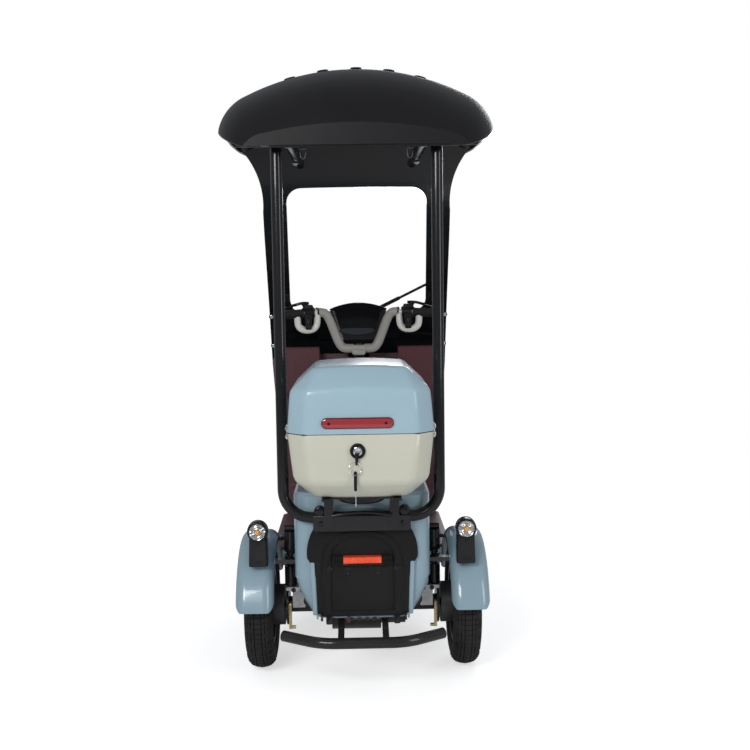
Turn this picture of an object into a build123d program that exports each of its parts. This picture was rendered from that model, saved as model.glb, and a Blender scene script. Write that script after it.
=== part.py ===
from math import cos, radians, sin, sqrt, tan
import os

from build123d import *

# Electric tricycle with a rain roof: one steered wheel in front and two driven wheels on a live axle behind.
# A leg shield and floor carry a windscreen, and a bent tube hoop behind the seat carries the roof.
# A lockable top box stands on a rack inside the hoop.
# Working frame: X to the vehicle's right, Y forward, Z up, zero on the ground under the rear axle.
# On export everything moves along Y, so that the origin lies under the middle of the whole vehicle.

# Clearances
SEAT_GAP = 0.3       # between pieces that sit on each other
RUN_GAP = 6.0        # between pieces that move past each other
SHAFT_FIT = 0.05     # round a shaft in its bore

# Half the width of the rear body, which the wheels, mudguards and shock absorbers stand clear of
BODY_HALF = 195.0

# Wheels, tyre size 3.00-8
WHEELBASE = 1065.0
TRACK = 2 * (BODY_HALF + 115.0)
TYRE_R = 188.0
TYRE_W = 88.0
TYRE_BEAD_H = 10.0
RIM_R = 108.0
RIM_W = 60.0
RIM_WALL = 6.0
FLANGE_T = 4.0
DISC_T = 10.0
SPOKE_COUNT = 5
SPOKE_SLOT_W = 38.0
HUB_END = 22.0       # how far a rear hub runs outboard of the wheel's middle

# Rear axle
AXLE_R = 24.0
SHAFT_R = 12.0
DRUM_R = 62.0
DRUM_INNER_X = BODY_HALF + 45.0
BACKPLATE_T = 7.0
MOTOR_R = 78.0
MOTOR_X = (-95.0, 55.0)
DIFF_R = 62.0
DIFF_X = (55.0, 130.0)
PERCH_X = BODY_HALF + 1.0
PERCH_W = 38.0
PERCH_TOP_W = 54.0
PERCH_L = 76.0
PERCH_TOP_Z = 266.0
ARM_R = 14.0
ARM_X = 156.0
ARM_Y = 250.0

# Steering geometry
RAKE = 20.0
STEER_LIMIT = 32.0
CLAMP_Y = 775.0
CLAMP_Z = 937.0
STEERER_R = 15.0
CROWN_Z = 448.0
CROWN_T = 24.0
HEAD_TUBE_R = 25.0
HEAD_LOW_Z = 500.0
HEAD_HIGH_Z = 840.0
FORK_HALF = 82.0
FORK_LEG_R = 15.0
FORK_SLIDER_R = 19.0
FRONT_SHAFT_R = 8.0
FRONT_DRUM_R = 55.0
FRONT_HUB_HALF = 48.0

# Mudguards
FENDER_R = 232.0
FENDER_T = 4.0
REAR_FENDER_HALF = 56.0
REAR_FENDER_X = BODY_HALF + 120.0
REAR_FENDER_SKIRT = 36.0
REAR_FENDER_TAIL = 11.0     # degrees above level at the back
REAR_FENDER_NOSE = 12.0     # degrees above level in front
FENDER_SHOULDER_R = 31.0
FENDER_TAIL_R = 34.0         # rounding of the low corners, seen from behind
FRONT_FENDER_HALF = 56.0
FRONT_FENDER_SKIRT = 33.0
FRONT_FENDER_TAIL = 12.0
FRONT_FENDER_NOSE = 36.0
STAY_W = 24.0

# Indicators on the rear mudguards
LAMP_X = REAR_FENDER_X - 13.0
LAMP_Y = -188.0
LAMP_Z = 466.0
LAMP_R = 35.0
LAMP_DEPTH = 34.0
LENS_R = 30.0
LENS_T = 9.0
STALK_W = 50.0
STALK_BACK = 9.0     # behind the middle of the lamp housing
STALK_T = 60.0
STALK_FOOT_Z = 356.0

# Rear body
SHELL_T = 4.0
BODY_REAR_Y = -246.0
BODY_FRONT_Y = 300.0
BODY_LOW_Z = 335.0
BODY_CORNER_R = 45.0
DECK_Z = 585.0
APRON_HALF = 139.0
APRON_Z = 222.0
CHEEK_FRONT_Y = -221.0   # the cheeks below the shell stop behind the frame rails
PANEL_T = 10.0
PANEL_HALF = 130.0
PANEL_EAR_HALF = 157.0
PANEL_EAR_Z = 400.0
PANEL_BOTTOM_Z = 230.0
PANEL_TOP_Z = 493.0
RECESS_HALF = 90.0
RECESS_TOP_Z = 411.0   # where the recess starts to round over
RECESS_RISE = 50.0
TAIL_LAMP_Z = 396.0
TAIL_LAMP_HALF = 56.0
TAIL_LAMP_H = 22.0
TAIL_LAMP_CAP = 28.0
TAIL_LAMP_T = 18.0
PLATE_HOLE_R = 3.0
PLATE_HOLE_SPACING = 86.0
PLATE_HOLE_Z = 352.0

# Frame tubes
RAIL_X = 156.0
RAIL_R = 16.0
RAIL_Z = 263.7       # the floor rests on the rails
RAIL_REAR_Y = -215.0
RAIL_FRONT_Y = 775.0
DOWN_TUBE_R = 18.0
BODY_POST_X = 150.0
BODY_POST_W = 24.0

# Battery
BATTERY_W = 250.0
BATTERY_L = 270.0
BATTERY_H = 170.0
BATTERY_Y = 90.0
TRAY_T = 4.0

# Floor and leg shield
FLOOR_Z = 280.0
FLOOR_T = 12.0
FLOOR_HALF = 300.0
FLOOR_FRONT_Y = 812.0
SKIRT_LOW_Z = 226.0
SKIRT_T = 5.0
SHIELD_T = 6.0
SHIELD_FOOT_Y = 818.0
SHIELD_TOP_Y = 868.0
SHIELD_TOP_Z = 906.0
SHIELD_TOP_HALF = 338.0
SHIELD_FOOT_HALF = 298.0
COVER_R = 44.0
COVER_T = 4.0
POCKET_IN_X = 150.0
POCKET_OUT_X = 300.0
POCKET_FLOOR_Z = 762.0
POCKET_TOP_Z = 934.0
POCKET_DEPTH = 74.0
POCKET_T = 4.0

# Front cowl and lamps
COWL_T = 4.0
HEADLAMP_R = 74.0
HEADLAMP_Z = 715.0
HEADLAMP_DEPTH = 34.0
FRONT_LAMP_X = 116.0
FRONT_LAMP_R = 24.0

# Windscreen, set out along its own leaning plane
SCREEN_FOOT_Y = 980.0
SCREEN_FOOT_Z = 898.0
SCREEN_LEAN = 15.5
SCREEN_BEND_R = 1900.0
SCREEN_FRAME_T = 12.0
GLASS_T = 4.0
GLASS_LAP = 12.0
SCREEN_TOP = 895.0
SCREEN_FLARE = 412.0
SCREEN_SKIRT = -16.0     # below the foot line, down on to the cowl
WINDOW_LOW = 180.0
WINDOW_HIGH = 668.0
WINDOW_HALF = 264.0
WINDOW_CORNER_R = 55.0
WIPER_X = 20.0
WIPER_UP = 152.0
WIPER_ANGLE = 27.0
WIPER_ARM_L = 160.0
WIPER_BLADE_L = 290.0
WIPER_SHAFT_R = 5.0
WIPER_OFF = 14.0     # from the glass to the swing plane

# Instrument hood
HOOD_HALF = 110.0
HOOD_LOW_Z = 948.0
HOOD_HIGH_Z = 1106.0
HOOD_REAR_Y = 798.0

# Roof
ROOF_T = 5.0

# Tube hoop that carries the roof
HOOP_R = 16.0
HOOP_X = 220.0
HOOP_Y = -263.0
HOOP_Z = 520.0
HOOP_CORNER_R = 80.0
ROOF_RAIL_Z = 1616.0
ROOF_RAIL_BEND_R = 110.0
ROOF_RAIL_FRONT_X = 205.0
ROOF_RAIL_FRONT_Y = 715.0
BOW_R = 9.0
BOW_Z = ROOF_RAIL_Z + HOOP_R + BOW_R + 22

# Rack
PLATE_HALF = 137.0
PLATE_LOW_Z = 484.0
PLATE_HIGH_Z = 527.0
PLATE_T = 6.0
RACK_X = 92.0
RACK_BAR_W = 26.0
RACK_BAR_T = 6.0
RACK_TOP_Z = 616.0

# Top box
BOX_HALF = 192.0
BOX_FRONT_Y = -132.0
BOX_REAR_Y = -512.0
BOX_SEAM_Z = 790.0
BOX_TOP_Z = 967.0
BOX_T = 4.0
BOX_CORNER = 44.0
BOX_FOOT_BEVEL = 46.0
BOX_LID_BEVEL = 56.0
BOX_LID_DRAFT = 14.0   # how much narrower each side is at the top
BOX_BASE_DRAFT = 20.0  # how much narrower each side is at the foot
SEAM_GAP = 1.0
LID_HINGE_R = 5.0
LID_HINGE_X = 105.0
LOCK_T = 7.0
LOCK_NOSE = 4.0

# Seat
SEAT_REAR_Y = -104.0
SEAT_FRONT_Y = 318.0
SEAT_HALF = 168.0
SEAT_PAN_T = 12.0
SEAT_PAD_T = 84.0
SEAT_HINGE_R = 4.0
SEAT_HINGE_Y = 314.0
SEAT_HINGE_Z = 590.0
SEAT_HINGE_X = 110.0

# Handlebar
BAR_R = 12.0
BAR_MID_R = 15.0     # the stout middle part of the bar
BAR_LOW_HALF = 52.0
BAR_TOP_X = 118.0
BAR_TOP_Y = 745.0
BAR_TOP_Z = 1072.0
BAR_END_X = 298.0
BAR_END_Y = 700.0
BAR_END_Z = 1064.0
BAR_BEND_R = 32.0
GRIP_R = 17.0
GRIP_L = 98.0
GUARD_R = 11.0
GUARD_IN_X = 156.0
GUARD_OUT_X = 226.0
GUARD_LOW_Z = 1010.0
HOUSING_X = 186.0
HOUSING_W = 34.0
MIRROR_HOLE_R = 4.0
MIRROR_HOLE_L = 14.0
MIRROR_BOSS_R = 9.0
MIRROR_BOSS_L = 40.0
MIRROR_LEAN = 30.0   # the boss leans outward, so that the stem passes the roof

# Rear bumper
BUMPER_R = 15.5
BUMPER_END_X = BODY_HALF + 33.0
BUMPER_END_Y = -262.0
BUMPER_BEND_X = 120.0
BUMPER_MID_Y = -334.0
BUMPER_Z = 178.0
STRAP_X = 63.0
STRAP_W = 18.0
STRAP_T = 6.0

# Rear shock absorbers
SHOCK_X = BODY_HALF + 23.0
SHOCK_Y = -58.0
SHOCK_HIGH_Z = 432.0
SHOCK_R = 18.0
CROSS_TUBE_R = 9.0
CROSS_TUBE_Z = SHOCK_HIGH_Z + SEAT_GAP + CROSS_TUBE_R

# Worked out from the sizes above
HALF_TRACK = TRACK / 2
SLOPE = tan(radians(RAKE))
AXIS_UP = Vector(0, -sin(radians(RAKE)), cos(radians(RAKE)))
FORK_AHEAD = (WHEELBASE - CLAMP_Y - (CLAMP_Z - TYRE_R) * SLOPE)
LEAN_UP = Vector(0, -sin(radians(SCREEN_LEAN)), cos(radians(SCREEN_LEAN)))
SCREEN_OUT = Vector(0, cos(radians(SCREEN_LEAN)), sin(radians(SCREEN_LEAN)))
SCREEN_FOOT = Vector(0, SCREEN_FOOT_Y, SCREEN_FOOT_Z)
SHIELD_RISE = Vector(0, SHIELD_TOP_Y - SHIELD_FOOT_Y, SHIELD_TOP_Z - FLOOR_Z).normalized()
OVERALL_FRONT = WHEELBASE + TYRE_R
OVERALL_REAR = BOX_REAR_Y - SEAT_GAP - LOCK_T - LOCK_NOSE
SHIFT_Y = -(OVERALL_FRONT + OVERALL_REAR) / 2

nodes = {}


def keep(name, made):
    """Names a finished piece and puts it on the list to export."""
    made.part.label = name
    nodes[name] = made.part


def on_axis(z):
    """The point of the steering axis at height z."""
    return Vector(0, CLAMP_Y + (CLAMP_Z - z) * SLOPE, z)


def side_plane(x):
    """A plane along the vehicle at x, its local axes along Y and Z."""
    return Plane(origin=(x, 0, 0), x_dir=(0, 1, 0), z_dir=(1, 0, 0))


def rear_plane(y):
    """A plane across the vehicle at y, its local axes along X and Z, facing the rear."""
    return Plane(origin=(0, y, 0), x_dir=(1, 0, 0), z_dir=(0, -1, 0))


def bent_line(points, bend_r):
    """Straight runs through the points with every corner rounded, drawn into the open line."""
    corners = [Vector(*p) for p in points]
    start = corners[0]
    for before, here, after in zip(corners, corners[1:], corners[2:]):
        into = (before - here).normalized()
        out = (after - here).normalized()
        half = into.get_angle(out) / 2
        reach = bend_r / tan(radians(half))
        middle = (into + out).normalized()
        centre_off = bend_r / sin(radians(half))
        Line(start, here + into * reach)
        top = here + middle * (centre_off - bend_r)
        ThreePointArc(here + into * reach, top, here + out * reach)
        start = here + out * reach
    Line(start, corners[-1])


def round_bar(points, bend_r, bar_r):
    """A round bar along a bent line."""
    with BuildPart() as made:
        with BuildLine() as path:
            if len(points) == 2:
                Line(points[0], points[1])
            else:
                bent_line(points, bend_r)
        wire = path.wires()[0]
        with BuildSketch(Plane(origin=wire @ 0, z_dir=wire % 0)):
            Circle(bar_r)
        sweep(path=wire)
    return made.part


# Wheels

def tyre(centre):
    bead = RIM_W / 2
    belly = TYRE_W / 2
    inner_r = RIM_R + SEAT_GAP
    bead_r = RIM_R + TYRE_BEAD_H + FLANGE_T
    shoulder = belly - 7
    shoulder_r = TYRE_R - 14
    belly_r = (inner_r + TYRE_R) / 2
    with BuildPart() as made:
        with BuildSketch(Plane(origin=centre, x_dir=(1, 0, 0), z_dir=(0, -1, 0))):
            with BuildLine():
                Polyline((-bead, bead_r), (-bead, inner_r), (bead, inner_r), (bead, bead_r))
                ThreePointArc((bead, bead_r), (belly, belly_r), (shoulder, shoulder_r))
                ThreePointArc((shoulder, shoulder_r), (0, TYRE_R), (-shoulder, shoulder_r))
                ThreePointArc((-shoulder, shoulder_r), (-belly, belly_r), (-bead, bead_r))
            make_face()
        revolve(axis=Axis(centre, (1, 0, 0)))
    return made


def rim(centre, hub_from, hub_to, hub_r, bore_r, disc_at):
    """A slotted rim with its hub and brake drum, hub_from and hub_to being offsets along X."""
    flange_x = RIM_W / 2 + SEAT_GAP + FLANGE_T / 2
    with BuildPart() as made:
        with BuildSketch(Plane(origin=centre, x_dir=(1, 0, 0), z_dir=(0, -1, 0))):
            with Locations((0, RIM_R - RIM_WALL / 2)):
                Rectangle(2 * flange_x + FLANGE_T, RIM_WALL)
            with Locations((-flange_x, RIM_R + TYRE_BEAD_H / 2 - 1), (flange_x, RIM_R + TYRE_BEAD_H / 2 - 1)):
                Rectangle(FLANGE_T, TYRE_BEAD_H + 2)
            with Locations((disc_at, (RIM_R - RIM_WALL / 2 + bore_r) / 2)):
                Rectangle(DISC_T, RIM_R - RIM_WALL / 2 - bore_r)
            with Locations(((hub_from + hub_to) / 2, (hub_r + bore_r) / 2)):
                Rectangle(hub_to - hub_from, hub_r - bore_r)
        revolve(axis=Axis(centre, (1, 0, 0)))
        slot_from = hub_r + 7
        slot_to = RIM_R - RIM_WALL - 5
        with BuildSketch(Plane(origin=centre, x_dir=(0, 1, 0), z_dir=(1, 0, 0))):
            with PolarLocations((slot_from + slot_to) / 2, SPOKE_COUNT, start_angle=90):
                Rectangle(slot_to - slot_from, SPOKE_SLOT_W)
        extrude(amount=RIM_W, both=True, mode=Mode.SUBTRACT)
    return made


for side, word in ((-1, "left"), (1, "right")):
    middle = (side * HALF_TRACK, 0, TYRE_R)
    ends = sorted((side * (DRUM_INNER_X - HALF_TRACK), side * HUB_END))
    keep(f"rear_tyre_{word}", tyre(middle))
    keep(f"rear_rim_{word}", rim(middle, ends[0], ends[1], DRUM_R, SHAFT_R + SHAFT_FIT, side * 8))

front_middle = (0, WHEELBASE, TYRE_R)
keep("front_tyre", tyre(front_middle))
keep("front_rim", rim(front_middle, -FRONT_HUB_HALF, FRONT_HUB_HALF, FRONT_DRUM_R,
                      FRONT_SHAFT_R + SHAFT_FIT, 0))

# Rear axle: tube, motor, differential, brake back plates, stub shafts and trailing arms
BACKPLATE_OUT = DRUM_INNER_X - RUN_GAP
with BuildPart() as rear_axle:
    for low_x, high_x, bar_r in (
        (-BACKPLATE_OUT, BACKPLATE_OUT, AXLE_R),
        (MOTOR_X[0], MOTOR_X[1], MOTOR_R),
        (DIFF_X[0], DIFF_X[1], DIFF_R),
        (-BACKPLATE_OUT, -BACKPLATE_OUT + BACKPLATE_T, DRUM_R),
        (BACKPLATE_OUT - BACKPLATE_T, BACKPLATE_OUT, DRUM_R),
        (-HALF_TRACK - HUB_END - 14, HALF_TRACK + HUB_END + 14, SHAFT_R),
    ):
        with BuildSketch(side_plane(low_x)):
            with Locations((0, TYRE_R)):
                Circle(bar_r)
        extrude(amount=high_x - low_x)
    for side in (-1, 1):
        with BuildSketch(side_plane(side * (HALF_TRACK + HUB_END + 5.5))):
            with Locations((0, TYRE_R)):
                RegularPolygon(SHAFT_R + 5, 6)
        extrude(amount=5, both=True)
        arm = round_bar([(side * ARM_X, 0, TYRE_R), (side * ARM_X, ARM_Y, TYRE_R + 20)], 0, ARM_R)
        add(arm)
keep("rear_axle", rear_axle)

# Saddle on the axle tube that carries each shock absorber
for side, word in ((-1, "left"), (1, "right")):
    with BuildPart() as perch:
        with BuildSketch(side_plane(side * PERCH_X)):
            with Locations((0, (TYRE_R + PERCH_TOP_Z) / 2)):
                Rectangle(PERCH_L, PERCH_TOP_Z - TYRE_R)
            with Locations((0, TYRE_R)):
                Circle(AXLE_R + SEAT_GAP, mode=Mode.SUBTRACT)
        extrude(amount=PERCH_W / 2, both=True)
        with Locations((side * (PERCH_X - PERCH_W / 2), SHOCK_Y / 2, PERCH_TOP_Z)):
            Box(PERCH_TOP_W, abs(SHOCK_Y) + PERCH_L / 2 + 20, 10,
                align=(Align.MIN if side > 0 else Align.MAX, Align.CENTER, Align.MAX))
    keep(f"spring_perch_{word}", perch)

# Shock absorber: body, rod and coil cover, with an eye bolted to the frame at the top
SHOCK_LOW_Z = PERCH_TOP_Z + SEAT_GAP
for side, word in ((-1, "left"), (1, "right")):
    with BuildPart() as shock:
        for low_z, high_z, bar_r in (
            (SHOCK_LOW_Z, SHOCK_LOW_Z + 60, SHOCK_R),
            (SHOCK_LOW_Z + 60, SHOCK_HIGH_Z - 60, 9.0),
            (SHOCK_HIGH_Z - 60, SHOCK_HIGH_Z, SHOCK_R),
        ):
            with BuildSketch(Plane.XY.offset(low_z)):
                with Locations((side * SHOCK_X, SHOCK_Y)):
                    Circle(bar_r)
            extrude(amount=high_z - low_z)
    keep(f"shock_{word}", shock)

# Hanging brake lever behind each back plate
for side, word in ((-1, "left"), (1, "right")):
    lever_x = side * (BACKPLATE_OUT - BACKPLATE_T - SEAT_GAP - 4)
    with BuildPart() as lever:
        with BuildSketch(side_plane(lever_x)):
            with BuildLine():
                Polyline((-46, 196), (-30, 196), (-34, 124), (-48, 124), (-46, 196))
            make_face()
            with Locations((-38, 196)):
                Circle(11)
        extrude(amount=4, both=True)
        with BuildSketch(side_plane(lever_x)):
            with Locations((-41, 128)):
                Circle(5)
        extrude(amount=-side * 16)
    keep(f"brake_lever_{word}", lever)


# Mudguards

def fender(centre, half, skirt, nose, tail):
    """A trough of sheet round a wheel, from nose degrees above level in front to tail degrees behind."""
    radial = Vector(0, cos(radians(nose)), sin(radians(nose)))
    along = Vector(0, -sin(radians(nose)), cos(radians(nose)))
    section_plane = Plane(origin=centre, x_dir=(1, 0, 0), z_dir=along)
    with BuildPart() as made:
        with BuildSketch(section_plane) as outer:
            with Locations((0, FENDER_R - skirt / 2)):
                Rectangle(2 * half, skirt)
            fillet(outer.vertices().group_by(Axis(centre, tuple(radial)))[-1], FENDER_SHOULDER_R)
        revolve(axis=Axis(centre, (1, 0, 0)), revolution_arc=180 - nose - tail)
        with BuildSketch(section_plane) as inner:
            with Locations((0, FENDER_R - FENDER_T - skirt / 2)):
                Rectangle(2 * (half - FENDER_T), skirt)
            fillet(inner.vertices().group_by(Axis(centre, tuple(radial)))[-1], FENDER_SHOULDER_R - FENDER_T)
        revolve(axis=Axis(centre, (1, 0, 0)), revolution_arc=180 - nose - tail, mode=Mode.SUBTRACT)
        low_z = centre[2] + (FENDER_R - skirt) * sin(radians(min(nose, tail)))
        with BuildSketch(rear_plane(centre[1] + FENDER_R + 10)):
            with Locations((centre[0], low_z + FENDER_R)):
                RectangleRounded(2 * half + 1, 2 * FENDER_R, FENDER_TAIL_R)
        extrude(amount=2 * FENDER_R + 20, mode=Mode.INTERSECT)
    return made


# Rear mudguards, each with two brackets that reach in to the body side
for side, word in ((-1, "left"), (1, "right")):
    middle = (side * REAR_FENDER_X, 0, TYRE_R)
    bare = fender(middle, REAR_FENDER_HALF, REAR_FENDER_SKIRT, REAR_FENDER_NOSE, REAR_FENDER_TAIL)
    inner_x = BODY_HALF + SEAT_GAP
    outer_x = REAR_FENDER_X - REAR_FENDER_HALF + FENDER_T / 2
    with BuildPart() as guard:
        add(bare.part)
        for y in (-125, 105):
            z = TYRE_R + sqrt((FENDER_R - 20) ** 2 - y ** 2)
            with BuildSketch(side_plane(side * inner_x)):
                with Locations((y, z)):
                    Rectangle(26, 12)
            extrude(amount=side * (outer_x - inner_x))
    keep(f"rear_fender_{word}", guard)

# Indicators: round housing on a stalk that stands on the mudguard
for side, word in ((-1, "left"), (1, "right")):
    with BuildPart() as indicator:
        with BuildSketch(rear_plane(LAMP_Y + LAMP_DEPTH / 2)):
            with Locations((side * LAMP_X, LAMP_Z)):
                Circle(LAMP_R)
        extrude(amount=LAMP_DEPTH)
        with BuildSketch(rear_plane(LAMP_Y - STALK_BACK + STALK_T)):
            with Locations((side * LAMP_X, (LAMP_Z + STALK_FOOT_Z) / 2)):
                Rectangle(STALK_W, LAMP_Z - STALK_FOOT_Z)
        extrude(amount=STALK_T)
        fillet(indicator.edges().filter_by(Axis.Y).group_by(Axis.Z)[0], STALK_W / 5)
        with BuildSketch(side_plane(side * LAMP_X)):
            with Locations((0, TYRE_R)):
                Circle(FENDER_R + SEAT_GAP)
        extrude(amount=STALK_W, both=True, mode=Mode.SUBTRACT)
    keep(f"indicator_{word}", indicator)
    with BuildPart() as lens:
        with BuildSketch(rear_plane(LAMP_Y - LAMP_DEPTH / 2 - SEAT_GAP)):
            with Locations((side * LAMP_X, LAMP_Z)):
                Circle(LENS_R)
        extrude(amount=LENS_T, taper=25)
    keep(f"indicator_lens_{word}", lens)

# Rear body: a hollow shell under the seat, open below, with an apron behind that curves in at both sides

def cheek_form(inset):
    """The tapering apron as a solid, drawn in by the inset at the back and the sides."""
    with BuildPart(mode=Mode.PRIVATE) as made:
        for z, half in ((BODY_LOW_Z, BODY_HALF), (BODY_LOW_Z - 35, BODY_HALF - 10),
                        (BODY_LOW_Z - 67, BODY_HALF - 25), (BODY_LOW_Z - 95, BODY_HALF - 42),
                        (APRON_Z, APRON_HALF)):
            deep = BODY_CORNER_R + 60
            with BuildSketch(Plane.XY.offset(z if inset == 0 or z > APRON_Z else z - 1)):
                with Locations((0, BODY_REAR_Y + deep / 2 + inset)):
                    RectangleRounded(2 * (half - inset), deep, BODY_CORNER_R - inset)
        loft(ruled=True)
        with Locations((0, CHEEK_FRONT_Y, BODY_LOW_Z)):
            Box(2 * BODY_HALF + 20, 200, 300, align=(Align.CENTER, Align.MIN, Align.CENTER), mode=Mode.SUBTRACT)
    return made.part


with BuildPart() as body:
    with BuildSketch(Plane.XY.offset(BODY_LOW_Z)):
        with Locations((0, (BODY_REAR_Y + BODY_FRONT_Y) / 2)):
            RectangleRounded(2 * BODY_HALF, BODY_FRONT_Y - BODY_REAR_Y, BODY_CORNER_R)
    extrude(amount=DECK_Z - BODY_LOW_Z)
    chamfer(body.faces().sort_by(Axis.Z)[-1].edges(), 10)
    with BuildSketch(Plane.XY.offset(BODY_LOW_Z)):
        with Locations((0, (BODY_REAR_Y + BODY_FRONT_Y) / 2)):
            RectangleRounded(2 * (BODY_HALF - SHELL_T), BODY_FRONT_Y - BODY_REAR_Y - 2 * SHELL_T,
                             BODY_CORNER_R - SHELL_T)
    extrude(amount=DECK_Z - BODY_LOW_Z - SHELL_T - 6, mode=Mode.SUBTRACT)
    add(cheek_form(0))
    add(cheek_form(SHELL_T), mode=Mode.SUBTRACT)
    for side in (-1, 1):
        with BuildSketch(rear_plane(BODY_REAR_Y)):
            with BuildLine():
                Polyline((side * APRON_HALF, BODY_LOW_Z + 10), (side * (APRON_HALF - 6), APRON_Z),
                         (side * (APRON_HALF - 11), APRON_Z), (side * (PANEL_HALF + 1), BODY_LOW_Z + 10),
                         (side * APRON_HALF, BODY_LOW_Z + 10))
            make_face()
        extrude(amount=PANEL_T)
    for side in (-1, 1):
        with Locations((side * SEAT_HINGE_X, BODY_FRONT_Y - 3, DECK_Z - 19)):
            Box(20, SEAT_HINGE_Y + 2 - BODY_FRONT_Y + 3, 17, align=(Align.CENTER, Align.MIN, Align.MIN))
        with Locations((side * SEAT_HINGE_X, SEAT_HINGE_Y, DECK_Z - 10)):
            Box(20, 5, SEAT_HINGE_Z - DECK_Z + 10, align=(Align.CENTER, Align.CENTER, Align.MIN))
        with BuildSketch(side_plane(side * SEAT_HINGE_X)):
            with Locations((SEAT_HINGE_Y, SEAT_HINGE_Z)):
                Circle(SEAT_HINGE_R)
        extrude(amount=10, both=True)
    with BuildSketch(side_plane(-BODY_HALF - 5)):
        with Locations((SHOCK_Y, CROSS_TUBE_Z)):
            Circle(CROSS_TUBE_R + 2)
    extrude(amount=2 * BODY_HALF + 10, mode=Mode.SUBTRACT)
keep("body_shell", body)

# Black panel on the back of the body, with ears, plate holes and a round-topped recess
PANEL_BACK_Y = BODY_REAR_Y - SEAT_GAP
with BuildPart() as panel:
    with BuildSketch(rear_plane(PANEL_BACK_Y)) as outline:
        with BuildLine():
            for side in (-1, 1):
                Polyline((0, PANEL_BOTTOM_Z), (side * (PANEL_HALF - 14), PANEL_BOTTOM_Z),
                         (side * (PANEL_HALF - 4), PANEL_BOTTOM_Z + 14), (side * PANEL_HALF, PANEL_EAR_Z - 18),
                         (side * (PANEL_EAR_HALF - 9), PANEL_EAR_Z - 14), (side * PANEL_EAR_HALF, PANEL_EAR_Z))
                ThreePointArc((side * PANEL_EAR_HALF, PANEL_EAR_Z), (side * (PANEL_EAR_HALF - 4), PANEL_EAR_Z + 49),
                              (side * (PANEL_EAR_HALF - 26), PANEL_TOP_Z))
                Line((side * (PANEL_EAR_HALF - 26), PANEL_TOP_Z), (0, PANEL_TOP_Z))
        make_face()
    extrude(amount=PANEL_T)
    with BuildSketch(rear_plane(PANEL_BACK_Y - PANEL_T)):
        with Locations((0, RECESS_TOP_Z)):
            Rectangle(2 * RECESS_HALF, RECESS_TOP_Z - PANEL_BOTTOM_Z - 15, align=(Align.CENTER, Align.MAX))
            Ellipse(RECESS_HALF, RECESS_RISE)
    extrude(amount=-3, mode=Mode.SUBTRACT)
    for side in (-1, 1):
        with BuildSketch(rear_plane(PANEL_BACK_Y - PANEL_T + 4)):
            with Locations((side * (TAIL_LAMP_HALF + SEAT_GAP + TAIL_LAMP_CAP / 2), TAIL_LAMP_Z)):
                Rectangle(TAIL_LAMP_CAP, TAIL_LAMP_H + 2)
        extrude(amount=TAIL_LAMP_T + 2)
    with BuildSketch(rear_plane(PANEL_BACK_Y)):
        with Locations((-PLATE_HOLE_SPACING / 2, PLATE_HOLE_Z), (PLATE_HOLE_SPACING / 2, PLATE_HOLE_Z)):
            Circle(PLATE_HOLE_R)
    extrude(amount=PANEL_T, mode=Mode.SUBTRACT)
keep("rear_panel", panel)

with BuildPart() as tail_lamp:
    with BuildSketch(rear_plane(PANEL_BACK_Y - PANEL_T + 3 - SEAT_GAP)):
        with Locations((0, TAIL_LAMP_Z)):
            Rectangle(2 * TAIL_LAMP_HALF, TAIL_LAMP_H)
    extrude(amount=TAIL_LAMP_T)
    chamfer(tail_lamp.faces().sort_by(Axis.Y)[0].edges().filter_by(Axis.X), 5)
keep("tail_lamp", tail_lamp)

# Main frame: two rails, cross tubes, posts under the seat, down tube and steering head
HEAD_LOW = on_axis(HEAD_LOW_Z)
HEAD_HIGH = on_axis(HEAD_HIGH_Z)
DOWN_LOW = Vector(0, RAIL_FRONT_Y - RAIL_R, RAIL_Z)
DOWN_HIGH = Vector(0, HEAD_LOW.Y - 20, HEAD_LOW.Z + 60)
DOWN_RUN = (DOWN_HIGH - DOWN_LOW).normalized()
DOWN_PLANE = Plane(origin=DOWN_LOW, x_dir=(1, 0, 0), z_dir=DOWN_RUN)
with BuildPart() as frame:
    for side in (-1, 1):
        add(round_bar([(side * RAIL_X, RAIL_REAR_Y, RAIL_Z), (side * RAIL_X, RAIL_FRONT_Y, RAIL_Z)], 0, RAIL_R))
        for y in (-200, 225):
            with Locations((side * BODY_POST_X, y, RAIL_Z + 4)):
                Box(BODY_POST_W, BODY_POST_W, DECK_Z - SHELL_T - 6 - SEAT_GAP - RAIL_Z - 4,
                    align=(Align.CENTER, Align.CENTER, Align.MIN))
        with Locations((side * RAIL_X, ARM_Y + 10, RAIL_Z - 3)):
            Box(2 * RAIL_R - 8, 12, RAIL_Z - TYRE_R - 9, align=(Align.CENTER, Align.CENTER, Align.MAX))
        with Locations((side * BODY_POST_X, 12.5, CROSS_TUBE_Z)):
            Box(BODY_POST_W - 4, 440, 16)
    for y in (RAIL_REAR_Y + RAIL_R - 4, 225, RAIL_FRONT_Y - RAIL_R):
        add(round_bar([(-RAIL_X, y, RAIL_Z), (RAIL_X, y, RAIL_Z)], 0, RAIL_R - 2))
    add(round_bar([(-SHOCK_X - 16, SHOCK_Y, CROSS_TUBE_Z), (SHOCK_X + 16, SHOCK_Y, CROSS_TUBE_Z)],
                  0, CROSS_TUBE_R))
    with Locations((0, BATTERY_Y + 20, RAIL_Z + RAIL_R - 4)):
        Box(2 * RAIL_X + 20, BATTERY_L + 20, TRAY_T + 4, align=(Align.CENTER, Align.CENTER, Align.MIN))
    add(round_bar([tuple(DOWN_LOW), tuple(DOWN_HIGH)], 0, DOWN_TUBE_R))
    add(round_bar([tuple(HEAD_LOW), tuple(HEAD_HIGH)], 0, HEAD_TUBE_R))
    with BuildSketch(Plane(origin=HEAD_LOW, x_dir=(1, 0, 0), z_dir=AXIS_UP)):
        Circle(STEERER_R + SHAFT_FIT)
    extrude(amount=(HEAD_HIGH - HEAD_LOW).length, mode=Mode.SUBTRACT)
keep("main_frame", frame)

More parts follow.
